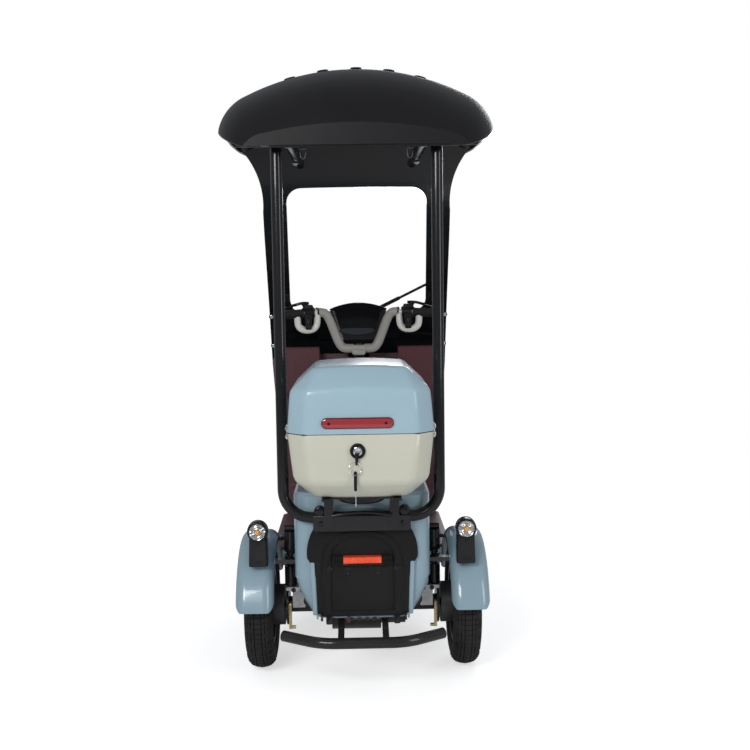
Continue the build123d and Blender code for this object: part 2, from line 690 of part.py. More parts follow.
# Battery block on the frame's tray
TRAY_Z = RAIL_Z + RAIL_R
with BuildPart() as battery:
    with Locations((0, BATTERY_Y + 20, TRAY_Z + TRAY_T + SEAT_GAP)):
        Box(BATTERY_W, BATTERY_L, BATTERY_H, align=(Align.CENTER, Align.CENTER, Align.MIN))
keep("battery", battery)

# Floor with its skirt below
FLOOR_REAR_Y = BODY_FRONT_Y + SEAT_GAP
with BuildPart() as floor:
    with BuildSketch(Plane.XY.offset(FLOOR_Z)):
        with Locations((0, (FLOOR_REAR_Y + FLOOR_FRONT_Y) / 2)):
            RectangleRounded(2 * FLOOR_HALF, FLOOR_FRONT_Y - FLOOR_REAR_Y, 30)
    extrude(amount=FLOOR_T)
    with BuildSketch(DOWN_PLANE):
        Circle(DOWN_TUBE_R + RUN_GAP)
    extrude(amount=120, mode=Mode.SUBTRACT)
keep("floorboard", floor)
with BuildPart() as skirt:
    with BuildSketch(Plane.XY.offset(SKIRT_LOW_Z)):
        with Locations((0, (FLOOR_REAR_Y + FLOOR_FRONT_Y) / 2)):
            RectangleRounded(2 * FLOOR_HALF - 8, FLOOR_FRONT_Y - FLOOR_REAR_Y - 8, 28)
            RectangleRounded(2 * (FLOOR_HALF - SKIRT_T) - 8, FLOOR_FRONT_Y - FLOOR_REAR_Y - 8 - 2 * SKIRT_T, 24,
                             mode=Mode.SUBTRACT)
    extrude(amount=FLOOR_Z - SEAT_GAP - SKIRT_LOW_Z)
    with Locations((0, FLOOR_REAR_Y, RAIL_Z)):
        Box(2 * (RAIL_X + RAIL_R) + 6, 60, 2 * RAIL_R + 60, mode=Mode.SUBTRACT)
keep("floor_skirt", skirt)

# Leg shield on a leaning plane, with a column cover and two pockets
SHIELD_PLANE = Plane(origin=(0, SHIELD_FOOT_Y, FLOOR_Z + FLOOR_T + SEAT_GAP), x_dir=(1, 0, 0),
                     z_dir=Vector(0, -SHIELD_RISE.Z, SHIELD_RISE.Y))
SHIELD_LEN = (SHIELD_TOP_Z - FLOOR_Z - FLOOR_T) / SHIELD_RISE.Z
COLUMN_PLANE = Plane(origin=on_axis(560), x_dir=(1, 0, 0), z_dir=AXIS_UP)
COLUMN_LEN = (SHIELD_TOP_Z - 4 - 560) / AXIS_UP.Z


def shield_y(z):
    """The rear face of the leg shield at height z."""
    return SHIELD_FOOT_Y + (z - FLOOR_Z - FLOOR_T) * SHIELD_RISE.Y / SHIELD_RISE.Z


with BuildPart() as shield:
    with BuildSketch(COLUMN_PLANE):
        Circle(COVER_R)
    extrude(amount=COLUMN_LEN)
    with BuildSketch(DOWN_PLANE.offset(42)):
        Circle(DOWN_TUBE_R + RUN_GAP + COVER_T)
    extrude(amount=170)
    back = shield_y(POCKET_FLOOR_Z)
    for side in (-1, 1):
        pocket_x = side * (POCKET_IN_X + POCKET_OUT_X) / 2
        with Locations((pocket_x, back + 16, POCKET_FLOOR_Z)):
            Box(POCKET_OUT_X - POCKET_IN_X, POCKET_DEPTH + 18, POCKET_TOP_Z - POCKET_FLOOR_Z,
                align=(Align.CENTER, Align.MAX, Align.MIN))
    with BuildSketch(SHIELD_PLANE.offset(-SHIELD_T / 2)):
        Rectangle(900, 1600)
    extrude(amount=-400, mode=Mode.SUBTRACT)
    with BuildSketch(SHIELD_PLANE) as outline:
        with BuildLine():
            Polyline((-SHIELD_FOOT_HALF, 0), (-SHIELD_FOOT_HALF - 6, 130), (-SHIELD_TOP_HALF + 16, 400),
                     (-SHIELD_TOP_HALF, SHIELD_LEN), (SHIELD_TOP_HALF, SHIELD_LEN),
                     (SHIELD_TOP_HALF - 16, 400), (SHIELD_FOOT_HALF + 6, 130), (SHIELD_FOOT_HALF, 0),
                     (-SHIELD_FOOT_HALF, 0))
        make_face()
        fillet(outline.vertices().group_by(Axis.Z)[-1], 30)
    extrude(amount=-SHIELD_T)
    with BuildSketch(COLUMN_PLANE.offset(-80)):
        Circle(COVER_R - COVER_T)
    extrude(amount=COLUMN_LEN + 160, mode=Mode.SUBTRACT)
    with BuildSketch(DOWN_PLANE):
        Circle(DOWN_TUBE_R + RUN_GAP)
    extrude(amount=330, mode=Mode.SUBTRACT)
    with BuildSketch(Plane.XY.offset(FLOOR_Z + FLOOR_T + SEAT_GAP)):
        with Locations((0, DOWN_LOW.Y)):
            Rectangle(300, 110)
    extrude(amount=-60, mode=Mode.SUBTRACT)
    for side in (-1, 1):
        pocket_x = side * (POCKET_IN_X + POCKET_OUT_X) / 2
        with Locations((pocket_x, back + 0.5, POCKET_FLOOR_Z + POCKET_T)):
            Box(POCKET_OUT_X - POCKET_IN_X - 2 * POCKET_T, POCKET_DEPTH + 2.5 - POCKET_T,
                POCKET_TOP_Z - POCKET_FLOOR_Z, align=(Align.CENTER, Align.MAX, Align.MIN), mode=Mode.SUBTRACT)
keep("leg_shield", shield)


# Front cowl: a hollow nose in front of the leg shield, open behind and below

def cowl_form(inset):
    """The nose as a solid, drawn in by the inset on every side."""
    with BuildPart(mode=Mode.PRIVATE) as made:
        for y, top_half, low_half, top_z, low_z, corner in (
            (shield_y(SHIELD_TOP_Z) + SHIELD_T + SEAT_GAP - (30 if inset > 0 else 0), 330, 300, 904, 452, 40),
            (985, 285, 235, 893, 456, 60),
            (1062 - inset, 165, 135, 845, 560, 50),
        ):
            with BuildSketch(rear_plane(y)) as section:
                with BuildLine():
                    Polyline((-low_half + inset, low_z + inset), (low_half - inset, low_z + inset),
                             (top_half - inset, top_z - inset), (-top_half + inset, top_z - inset),
                             (-low_half + inset, low_z + inset))
                make_face()
                fillet(section.vertices(), corner - inset)
        loft()
    return made.part


COWL_NOSE_Y = 1062.0
with BuildPart() as cowl:
    add(cowl_form(0))
    add(cowl_form(COWL_T), mode=Mode.SUBTRACT)
    with BuildSketch(Plane.XY.offset(400)):
        with Locations((0, 960)):
            Rectangle(250, 160)
    extrude(amount=110, mode=Mode.SUBTRACT)
keep("front_cowl", cowl)

with BuildPart() as headlamp:
    with BuildSketch(Plane(origin=(0, COWL_NOSE_Y + SEAT_GAP, HEADLAMP_Z), x_dir=(-1, 0, 0), z_dir=(0, 1, 0))):
        Circle(HEADLAMP_R)
    extrude(amount=HEADLAMP_DEPTH)
    fillet(headlamp.faces().sort_by(Axis.Y)[-1].edges(), 12)
keep("headlamp", headlamp)
with BuildPart() as front_lamps:
    for side in (-1, 1):
        with BuildSketch(Plane(origin=(side * FRONT_LAMP_X, COWL_NOSE_Y + SEAT_GAP, HEADLAMP_Z + 20),
                               x_dir=(-1, 0, 0), z_dir=(0, 1, 0))):
            Circle(FRONT_LAMP_R)
        extrude(amount=16)
keep("front_indicators", front_lamps)

# Fork: steerer, crown, legs, axle and the stay that carries the front mudguard
CROWN_AT = on_axis(CROWN_Z)
AHEAD = Vector(0, cos(radians(RAKE)), sin(radians(RAKE)))
OFFSET = FORK_AHEAD * cos(radians(RAKE))
front_axle = Vector(0, WHEELBASE, TYRE_R)
leg_len = (CROWN_AT + AHEAD * OFFSET - front_axle).length
with BuildPart() as stay:
    with BuildSketch(Plane(origin=CROWN_AT, x_dir=(1, 0, 0), z_dir=AXIS_UP)):
        with Locations((0, OFFSET / 2)):
            Rectangle(60, 40)
    extrude(amount=-leg_len)
    with BuildSketch(side_plane(0)):
        with Locations((WHEELBASE, TYRE_R)):
            Circle(FENDER_R + SEAT_GAP)
    extrude(amount=50, both=True, mode=Mode.SUBTRACT)
with BuildPart() as fork:
    with BuildSketch(Plane(origin=CROWN_AT, x_dir=(1, 0, 0), z_dir=AXIS_UP)):
        with Locations((0, OFFSET / 2)):
            RectangleRounded(2 * FORK_HALF + 44, 50 + OFFSET, 20)
    extrude(amount=CROWN_T / 2, both=True)
    with BuildSketch(Plane(origin=CROWN_AT, x_dir=(1, 0, 0), z_dir=AXIS_UP)):
        Circle(STEERER_R)
    extrude(amount=(on_axis(CLAMP_Z - 22) - CROWN_AT).length)
    for side in (-1, 1):
        foot = front_axle + Vector(side * FORK_HALF, 0, 0)
        with BuildSketch(Plane(origin=foot - AXIS_UP * 16, x_dir=(1, 0, 0), z_dir=AXIS_UP)):
            Circle(FORK_SLIDER_R)
        extrude(amount=leg_len * 0.55)
        with BuildSketch(Plane(origin=foot, x_dir=(1, 0, 0), z_dir=AXIS_UP)):
            Circle(FORK_LEG_R)
        extrude(amount=leg_len + CROWN_T / 2 + 10)
    with BuildSketch(side_plane(-FORK_HALF - 24)):
        with Locations((WHEELBASE, TYRE_R)):
            Circle(FRONT_SHAFT_R)
    extrude(amount=2 * (FORK_HALF + 24))
    add(stay.part)
keep("fork", fork)
keep("front_fender", fender(front_middle, FRONT_FENDER_HALF, FRONT_FENDER_SKIRT,
                            FRONT_FENDER_NOSE, FRONT_FENDER_TAIL))

# Windscreen: a moulded frame bent round in plan, the pane on its front, and the wiper
SCREEN_CROSS = Plane(origin=SCREEN_FOOT, x_dir=(1, 0, 0), z_dir=LEAN_UP)
SCREEN_FACE = Plane(origin=SCREEN_FOOT, x_dir=(1, 0, 0), z_dir=-SCREEN_OUT)


def screen_band(front, thickness):
    """A slab bent round in plan, its front face lying front ahead of the screen's own line."""
    with BuildPart(mode=Mode.PRIVATE) as made:
        with BuildSketch(SCREEN_CROSS.offset(-20)):
            with Locations((0, -SCREEN_BEND_R)):
                Circle(SCREEN_BEND_R + front)
                Circle(SCREEN_BEND_R + front - thickness, mode=Mode.SUBTRACT)
            Rectangle(2 * 470, 260, mode=Mode.INTERSECT)
        extrude(amount=SCREEN_TOP + 60)
    return made.part


with BuildPart() as screen_frame:
    add(screen_band(0, SCREEN_FRAME_T))
    with BuildSketch(SCREEN_FACE):
        with BuildLine():
            Polyline((-352, 583), (-351, 491), (-345, 190), (-342, SCREEN_SKIRT), (342, SCREEN_SKIRT), (345, 190),
                     (351, 491), (352, 583))
            ThreePointArc((352, 583), (372, 734), (SCREEN_FLARE, 806))
            ThreePointArc((SCREEN_FLARE, 806), (0, SCREEN_TOP), (-SCREEN_FLARE, 806))
            ThreePointArc((-SCREEN_FLARE, 806), (-372, 734), (-352, 583))
        make_face()
    extrude(amount=200, both=True, mode=Mode.INTERSECT)
    with BuildSketch(SCREEN_FACE):
        with Locations((0, (WINDOW_LOW + WINDOW_HIGH) / 2)):
            RectangleRounded(2 * WINDOW_HALF, WINDOW_HIGH - WINDOW_LOW, WINDOW_CORNER_R)
    extrude(amount=200, both=True, mode=Mode.SUBTRACT)
    wiper_at = SCREEN_FOOT + LEAN_UP * WIPER_UP + Vector(WIPER_X, 0, 0)
    with BuildSketch(Plane(origin=wiper_at, x_dir=(1, 0, 0), z_dir=SCREEN_OUT)):
        Circle(WIPER_SHAFT_R + 1)
    extrude(amount=60, both=True, mode=Mode.SUBTRACT)
    add(cowl_form(-SEAT_GAP), mode=Mode.SUBTRACT)
keep("windscreen_frame", screen_frame)

with BuildPart() as glass:
    add(screen_band(SEAT_GAP + GLASS_T, GLASS_T))
    with BuildSketch(SCREEN_FACE):
        with Locations((0, (WINDOW_LOW + WINDOW_HIGH) / 2)):
            RectangleRounded(2 * (WINDOW_HALF + GLASS_LAP), WINDOW_HIGH - WINDOW_LOW + 2 * GLASS_LAP,
                             WINDOW_CORNER_R + GLASS_LAP)
    extrude(amount=200, both=True, mode=Mode.INTERSECT)
keep("windscreen_glass", glass)

with BuildPart() as wiper_motor:
    with BuildSketch(Plane(origin=wiper_at - SCREEN_OUT * (SCREEN_FRAME_T + 1), x_dir=(1, 0, 0),
                           z_dir=-SCREEN_OUT)):
        RectangleRounded(64, 46, 10)
    extrude(amount=24)
    with BuildSketch(Plane(origin=wiper_at - SCREEN_OUT * (SCREEN_FRAME_T + 4), x_dir=(1, 0, 0),
                           z_dir=SCREEN_OUT)):
        Circle(WIPER_SHAFT_R)
    extrude(amount=SCREEN_FRAME_T + 4 + GLASS_T + WIPER_OFF)
keep("wiper_motor", wiper_motor)

WIPER_ALONG = Vector(cos(radians(WIPER_ANGLE)), 0, 0) + LEAN_UP * sin(radians(WIPER_ANGLE))
WIPER_PLANE = Plane(origin=wiper_at + SCREEN_OUT * (GLASS_T + WIPER_OFF - 6), x_dir=WIPER_ALONG, z_dir=-SCREEN_OUT)
with BuildPart() as wiper:
    with BuildSketch(WIPER_PLANE) as arm:
        with Locations((WIPER_ARM_L / 2, 0)):
            Rectangle(WIPER_ARM_L, 13)
        Circle(13)
        Circle(WIPER_SHAFT_R + SHAFT_FIT, mode=Mode.SUBTRACT)
    extrude(amount=-8)
    with BuildSketch(WIPER_PLANE):
        with Locations((WIPER_ARM_L, 0)):
            Rectangle(WIPER_BLADE_L, 9)
    extrude(amount=-6)
keep("wiper", wiper)


# Roof: an arched shell, lower and narrower at the back

def roof_form(inset):
    """The roof as a solid down to its rim, drawn in by the inset."""
    with BuildPart(mode=Mode.PRIVATE) as made:
        for y, half, rim_z, crown_z in (
            (-338 + inset, 302, 1542, 1604),
            (-262, 360, 1574, 1714),
            (-60, 400, 1622, 1798),
            (230, 418, 1648, 1841),
            (640, 427, 1658, 1808),
            (812 - inset, 414, 1664, 1750),
        ):
            half = half - inset
            rise = crown_z - inset - rim_z
            with BuildSketch(rear_plane(y)):
                with BuildLine():
                    Line((-half, rim_z - inset), (half, rim_z - inset))
                    Line((half, rim_z - inset), (half, rim_z + 0.05 * rise))
                    ThreePointArc((half, rim_z + 0.05 * rise), (0.94 * half, rim_z + 0.33 * rise),
                                  (0.80 * half, rim_z + 0.58 * rise))
                    ThreePointArc((0.80 * half, rim_z + 0.58 * rise), (0, rim_z + rise),
                                  (-0.80 * half, rim_z + 0.58 * rise))
                    ThreePointArc((-0.80 * half, rim_z + 0.58 * rise), (-0.94 * half, rim_z + 0.33 * rise),
                                  (-half, rim_z + 0.05 * rise))
                    Line((-half, rim_z + 0.05 * rise), (-half, rim_z - inset))
                make_face()
        loft()
    return made.part


with BuildPart() as roof:
    add(roof_form(0))
    add(roof_form(ROOF_T), mode=Mode.SUBTRACT)
keep("roof", roof)

# Hoop: one bent tube up both sides and forward under the roof, with two bows across
with BuildPart() as hoop:
    add(round_bar([(-ROOF_RAIL_FRONT_X, ROOF_RAIL_FRONT_Y, ROOF_RAIL_Z), (-HOOP_X, HOOP_Y, ROOF_RAIL_Z),
                   (-HOOP_X, HOOP_Y, HOOP_Z), (HOOP_X, HOOP_Y, HOOP_Z), (HOOP_X, HOOP_Y, ROOF_RAIL_Z),
                   (ROOF_RAIL_FRONT_X, ROOF_RAIL_FRONT_Y, ROOF_RAIL_Z)], HOOP_CORNER_R, HOOP_R))
    with BuildPart(mode=Mode.PRIVATE) as bows:
        for y in (60, 520):
            with BuildSketch(side_plane(-460)):
                with Locations((y, BOW_Z)):
                    Circle(BOW_R)
            extrude(amount=920)
        add(roof_form(ROOF_T + SEAT_GAP), mode=Mode.INTERSECT)
    add(bows.part)
    for y in (60, 520):
        for side in (-1, 1):
            with BuildSketch(Plane.XY.offset(ROOF_RAIL_Z)):
                with Locations((side * 212, y)):
                    Circle(8)
            extrude(amount=BOW_Z - ROOF_RAIL_Z)
keep("roof_hoop", hoop)

# Rack for the top box, with the plate that is bolted to the hoop
with BuildPart() as rack:
    back_y = HOOP_Y - HOOP_R - PLATE_T - SEAT_GAP
    with BuildSketch(rear_plane(HOOP_Y - HOOP_R - SEAT_GAP)):
        with Locations((0, (PLATE_LOW_Z + PLATE_HIGH_Z) / 2)):
            RectangleRounded(2 * PLATE_HALF, PLATE_HIGH_Z - PLATE_LOW_Z, 8)
    extrude(amount=PLATE_T)
    for side in (-1, 1):
        with Locations((side * RACK_X, back_y, PLATE_LOW_Z + 8)):
            Box(RACK_BAR_W, RACK_BAR_T, RACK_TOP_Z - PLATE_LOW_Z - 8, align=(Align.CENTER, Align.MAX, Align.MIN))
        with Locations((side * RACK_X, -150, RACK_TOP_Z)):
            Box(RACK_BAR_W, 330, RACK_BAR_T, align=(Align.CENTER, Align.MAX, Align.MAX))
        with Locations((side * RACK_X, -150, DECK_Z + SEAT_GAP)):
            Box(RACK_BAR_W, RACK_BAR_T, RACK_TOP_Z - DECK_Z - SEAT_GAP, align=(Align.CENTER, Align.MAX, Align.MIN))
    for y in (-440, -180):
        with Locations((0, y, RACK_TOP_Z)):
            Box(2 * RACK_X + RACK_BAR_W, RACK_BAR_W, RACK_BAR_T, align=(Align.CENTER, Align.CENTER, Align.MAX))
keep("box_rack", rack)

# Top box: hollow base, hollow lid hinged along the front, reflector and lock
BOX_MID_Y = (BOX_FRONT_Y + BOX_REAR_Y) / 2
BOX_LEN = BOX_FRONT_Y - BOX_REAR_Y
BOX_LOW_Z = RACK_TOP_Z + SEAT_GAP
HINGE_Y = BOX_FRONT_Y + LID_HINGE_R + 0.3
HINGE_Z = BOX_SEAM_Z + SEAM_GAP / 2
with BuildPart() as box_base:
    with BuildSketch(Plane.XY.offset(BOX_SEAM_Z)) as plan:
        with Locations((0, BOX_MID_Y)):
            Rectangle(2 * BOX_HALF, BOX_LEN)
        chamfer(plan.vertices(), BOX_CORNER)
    with BuildSketch(Plane.XY.offset(BOX_LOW_Z)) as plan:
        with Locations((0, BOX_MID_Y)):
            Rectangle(2 * (BOX_HALF - BOX_BASE_DRAFT), BOX_LEN)
        chamfer(plan.vertices(), BOX_CORNER)
    loft()
    chamfer(box_base.faces().sort_by(Axis.Z)[0].edges(), BOX_FOOT_BEVEL, BOX_FOOT_BEVEL * 0.8)
    offset(amount=-BOX_T, openings=box_base.faces().sort_by(Axis.Z)[-1])
    for side in (-1, 1):
        with Locations((side * LID_HINGE_X, BOX_FRONT_Y + 1.5, BOX_SEAM_Z - 12)):
            Box(20, 3, 24)
        with BuildSketch(side_plane(side * LID_HINGE_X)):
            with Locations((HINGE_Y, HINGE_Z)):
                Circle(LID_HINGE_R)
        extrude(amount=10, both=True)
keep("box_base", box_base)
with BuildPart() as box_lid:
    with BuildSketch(Plane.XY.offset(BOX_SEAM_Z + SEAM_GAP)) as plan:
        with Locations((0, BOX_MID_Y)):
            Rectangle(2 * BOX_HALF, BOX_LEN)
        chamfer(plan.vertices(), BOX_CORNER)
    with BuildSketch(Plane.XY.offset(BOX_TOP_Z)) as plan:
        with Locations((0, BOX_MID_Y)):
            Rectangle(2 * (BOX_HALF - BOX_LID_DRAFT), BOX_LEN)
        chamfer(plan.vertices(), BOX_CORNER)
    loft()
    chamfer(box_lid.faces().sort_by(Axis.Z)[-1].edges(), BOX_LID_BEVEL)
    offset(amount=-BOX_T, openings=box_lid.faces().sort_by(Axis.Z)[0])
    for side in (-1, 1):
        with Locations((side * (LID_HINGE_X + 21), BOX_FRONT_Y + 1.5, BOX_SEAM_Z + SEAM_GAP + 12)):
            Box(20, 3, 24)
        with BuildSketch(side_plane(side * (LID_HINGE_X + 21))):
            with Locations((HINGE_Y, HINGE_Z)):
                Circle(LID_HINGE_R)
        extrude(amount=10, both=True)
keep("box_lid", box_lid)

with BuildPart() as reflector:
    with BuildSketch(rear_plane(BOX_REAR_Y - SEAT_GAP)):
        with Locations((0, 832)):
            SlotOverall(184, 26)
    extrude(amount=6)
keep("box_reflector", reflector)
with BuildPart() as lock:
    with BuildSketch(rear_plane(BOX_REAR_Y - SEAT_GAP)):
        with Locations((0, 748)):
            Circle(20)
    extrude(amount=LOCK_T)
    with BuildSketch(rear_plane(BOX_REAR_Y - SEAT_GAP - LOCK_T)):
        with Locations((0, 748)):
            Circle(9)
    extrude(amount=LOCK_NOSE)
keep("box_lock", lock)
# Seat: a pan on the deck and the pad on it
with BuildPart() as pan:
    with BuildSketch(Plane.XY.offset(DECK_Z + SEAT_GAP)):
        with Locations((0, (SEAT_REAR_Y + SEAT_FRONT_Y) / 2)):
            RectangleRounded(2 * SEAT_HALF - 20, SEAT_FRONT_Y - SEAT_REAR_Y - 20, 50)
    extrude(amount=SEAT_PAN_T)
    for side in (-1, 1):
        with Locations((side * (SEAT_HINGE_X + 21), SEAT_FRONT_Y - 14, SEAT_HINGE_Z - 3)):
            Box(20, SEAT_HINGE_Y - SEAT_FRONT_Y + 14, 6, align=(Align.CENTER, Align.MIN, Align.MIN))
        with BuildSketch(side_plane(side * (SEAT_HINGE_X + 21))):
            with Locations((SEAT_HINGE_Y, SEAT_HINGE_Z)):
                Circle(SEAT_HINGE_R)
        extrude(amount=10, both=True)
keep("seat_pan", pan)
with BuildPart() as pad:
    with BuildSketch(Plane.XY.offset(DECK_Z + SEAT_PAN_T + 2 * SEAT_GAP)):
        with Locations((0, (SEAT_REAR_Y + SEAT_FRONT_Y) / 2)):
            RectangleRounded(2 * SEAT_HALF, SEAT_FRONT_Y - SEAT_REAR_Y, 60)
    extrude(amount=SEAT_PAD_T)
    fillet(pad.faces().sort_by(Axis.Z)[-1].edges(), 24)
keep("seat_pad", pad)

# Handlebar on the steerer, with a guard loop below each grip
BAR_RUN = Vector(BAR_END_X - BAR_TOP_X, BAR_END_Y - BAR_TOP_Y, BAR_END_Z - BAR_TOP_Z).normalized()


def on_bar(side, x):
    """The point of the outer bar run at x."""
    share = (x - BAR_TOP_X) / BAR_RUN.X
    at = Vector(BAR_TOP_X, BAR_TOP_Y, BAR_TOP_Z) + BAR_RUN * share
    return Vector(side * at.X, at.Y, at.Z)


with BuildPart() as handlebar:
    add(round_bar([(-BAR_END_X, BAR_END_Y, BAR_END_Z), (-BAR_TOP_X, BAR_TOP_Y, BAR_TOP_Z),
                   (-BAR_LOW_HALF, CLAMP_Y, CLAMP_Z), (BAR_LOW_HALF, CLAMP_Y, CLAMP_Z),
                   (BAR_TOP_X, BAR_TOP_Y, BAR_TOP_Z), (BAR_END_X, BAR_END_Y, BAR_END_Z)], BAR_BEND_R, BAR_R))
    add(round_bar([tuple(on_bar(-1, BAR_TOP_X + 24)), (-BAR_TOP_X, BAR_TOP_Y, BAR_TOP_Z),
                   (-BAR_LOW_HALF, CLAMP_Y, CLAMP_Z), (BAR_LOW_HALF, CLAMP_Y, CLAMP_Z),
                   (BAR_TOP_X, BAR_TOP_Y, BAR_TOP_Z), tuple(on_bar(1, BAR_TOP_X + 24))], BAR_BEND_R, BAR_MID_R))
    for side in (-1, 1):
        inner = on_bar(side, GUARD_IN_X)
        outer = on_bar(side, GUARD_OUT_X)
        add(round_bar([tuple(inner), (inner.X, inner.Y, GUARD_LOW_Z), (outer.X, outer.Y, GUARD_LOW_Z),
                       (outer.X, outer.Y, outer.Z - GRIP_R - 1)], 20, GUARD_R))
keep("handlebar", handlebar)
CLAMP_AT = Vector(0, CLAMP_Y, CLAMP_Z)
with BuildPart() as clamp:
    with BuildSketch(Plane(origin=CLAMP_AT - AXIS_UP * 40, x_dir=(1, 0, 0), z_dir=AXIS_UP)):
        RectangleRounded(46, 50, 10)
    extrude(amount=60)
    with BuildSketch(side_plane(-40)):
        with Locations((CLAMP_Y, CLAMP_Z)):
            Circle(BAR_MID_R + SEAT_GAP)
    extrude(amount=80, mode=Mode.SUBTRACT)
    with BuildSketch(Plane(origin=CLAMP_AT - AXIS_UP * 60, x_dir=(1, 0, 0), z_dir=AXIS_UP)):
        Circle(STEERER_R + SHAFT_FIT)
    extrude(amount=45, mode=Mode.SUBTRACT)
keep("bar_clamp", clamp)

for side, word in ((-1, "left"), (1, "right")):
    run = Vector(side * BAR_RUN.X, BAR_RUN.Y, BAR_RUN.Z)
    end = on_bar(side, BAR_END_X)
    with BuildPart() as grip:
        with BuildSketch(Plane(origin=end + run * 4, z_dir=-run)):
            Circle(GRIP_R)
        extrude(amount=GRIP_L)
        with BuildSketch(Plane(origin=end + run * SEAT_GAP, z_dir=-run)):
            Circle(BAR_R + SEAT_GAP)
        extrude(amount=GRIP_L, mode=Mode.SUBTRACT)
    keep(f"grip_{word}", grip)
    # Lever housing with its mirror hole, switch block and hand lever
    at = on_bar(side, HOUSING_X)
    with BuildPart() as controls:
        with BuildSketch(Plane(origin=at - run * HOUSING_W / 2, z_dir=run)):
            Circle(20)
        extrude(amount=HOUSING_W)
        with Locations((at.X, at.Y + 6, at.Z + 8)):
            Box(26, 26, 36)
        with Locations((at.X, at.Y + 4, at.Z - 21)):
            Box(22, 22, 42)
        boss_up = Vector(side * sin(radians(MIRROR_LEAN)), 0, cos(radians(MIRROR_LEAN)))
        boss_foot = at + Vector(0, 6, 4)
        with BuildSketch(Plane(origin=boss_foot, x_dir=(0, 1, 0), z_dir=boss_up)):
            Circle(MIRROR_BOSS_R)
        extrude(amount=MIRROR_BOSS_L)
        with BuildSketch(Plane(origin=at - run * HOUSING_W, z_dir=run)):
            Circle(BAR_R + SEAT_GAP)
        extrude(amount=2 * HOUSING_W, mode=Mode.SUBTRACT)
        with BuildSketch(Plane(origin=boss_foot + boss_up * MIRROR_BOSS_L, x_dir=(0, 1, 0), z_dir=boss_up)):
            Circle(MIRROR_HOLE_R)
        extrude(amount=-MIRROR_HOLE_L, mode=Mode.SUBTRACT)
        lever_run = [(at.X, at.Y + 14, at.Z + 4), (at.X + side * 18, at.Y + 36, at.Z + 2),
                     (at.X + side * 108, at.Y + 10, at.Z - 6)]
        add(round_bar(lever_run, 14, 4.5))
    keep(f"controls_{word}", controls)

# Instrument hood ahead of the bar
with BuildPart() as hood:
    with BuildSketch(side_plane(0)):
        with BuildLine():
            Polyline((HOOD_REAR_Y, HOOD_LOW_Z), (HOOD_REAR_Y - 22, HOOD_HIGH_Z - 12), (HOOD_REAR_Y - 10, HOOD_HIGH_Z),
                     (HOOD_REAR_Y + 20, HOOD_HIGH_Z - 10), (HOOD_REAR_Y + 36, HOOD_LOW_Z),
                     (HOOD_REAR_Y, HOOD_LOW_Z))
        make_face()
    extrude(amount=HOOD_HALF, both=True)
    fillet(hood.edges().filter_by(Axis.Y, reverse=True).filter_by(Axis.X, reverse=True).group_by(Axis.Z)[-1], 8)
keep("instrument_hood", hood)

# Rear bumper with its straps
STRAP_TOP_Y = RAIL_REAR_Y - 2 - SEAT_GAP
with BuildPart() as bumper:
    add(round_bar([(-BUMPER_END_X, BUMPER_END_Y, BUMPER_Z), (-BUMPER_BEND_X, BUMPER_MID_Y, BUMPER_Z),
                   (BUMPER_BEND_X, BUMPER_MID_Y, BUMPER_Z), (BUMPER_END_X, BUMPER_END_Y, BUMPER_Z)], 150, BUMPER_R))
    for side in (-1, 1):
        with BuildSketch(side_plane(side * STRAP_X)):
            with BuildLine():
                Polyline((STRAP_TOP_Y, RAIL_Z + 8), (STRAP_TOP_Y - STRAP_T, RAIL_Z + 8),
                         (STRAP_TOP_Y - STRAP_T, APRON_Z - 12), (BUMPER_MID_Y, BUMPER_Z + STRAP_T),
                         (BUMPER_MID_Y, BUMPER_Z - 2), (STRAP_TOP_Y, APRON_Z - 20),
                         (STRAP_TOP_Y, RAIL_Z + 8))
            make_face()
        extrude(amount=STRAP_W / 2, both=True)
keep("rear_bumper", bumper)

os.makedirs("parts", exist_ok=True)
for name, made in nodes.items():
    placed = Pos(0, SHIFT_Y, 0) * made
    placed.label = name
    export_step(placed, f"parts/{name}.step")
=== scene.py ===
# %% [markdown]
# Electric tricycle with a rain roof, dressed in Blender. Everything is in metres. The vehicle faces
# +Y, stands on Z = 0 and has X to its right.

# %% Load the frame
from math import atan2, cos, degrees, hypot, pi, radians, sin, tau

import bpy
from mathutils import Matrix, Vector


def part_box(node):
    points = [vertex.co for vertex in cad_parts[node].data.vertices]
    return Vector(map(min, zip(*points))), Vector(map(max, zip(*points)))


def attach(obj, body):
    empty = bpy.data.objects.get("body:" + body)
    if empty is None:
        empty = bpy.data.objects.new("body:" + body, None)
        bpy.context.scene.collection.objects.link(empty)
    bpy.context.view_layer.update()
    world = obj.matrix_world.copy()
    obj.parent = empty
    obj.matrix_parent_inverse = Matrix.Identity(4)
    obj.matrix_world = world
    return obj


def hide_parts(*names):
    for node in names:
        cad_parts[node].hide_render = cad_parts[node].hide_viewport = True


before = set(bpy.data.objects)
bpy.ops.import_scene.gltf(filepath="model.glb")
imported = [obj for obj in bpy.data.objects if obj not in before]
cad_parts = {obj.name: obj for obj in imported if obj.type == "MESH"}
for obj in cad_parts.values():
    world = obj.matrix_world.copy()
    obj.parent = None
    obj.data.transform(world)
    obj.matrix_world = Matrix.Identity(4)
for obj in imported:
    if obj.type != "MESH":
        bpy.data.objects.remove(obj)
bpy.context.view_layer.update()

# %% [markdown]
# The maker's drawing measures from the ground under the rear axle, in millimetres. One helper turns such
# a point into metres in the frame, so that every later number can be read off the drawing.

# %% A point of the drawing
REAR_AXLE_Y = -0.36485   # metres from the frame's origin to the rear axle


def at(x, y, z):
    """A point in the frame, from millimetres right, ahead of the rear axle and above the ground."""
    return Vector((x / 1000, y / 1000 + REAR_AXLE_Y, z / 1000))


# %% [markdown]
# The camera stands behind the tricycle at chest height, looking slightly down, and a little to the right.
# Its lens is a short telephoto, which keeps the wheels and the roof in believable proportion.

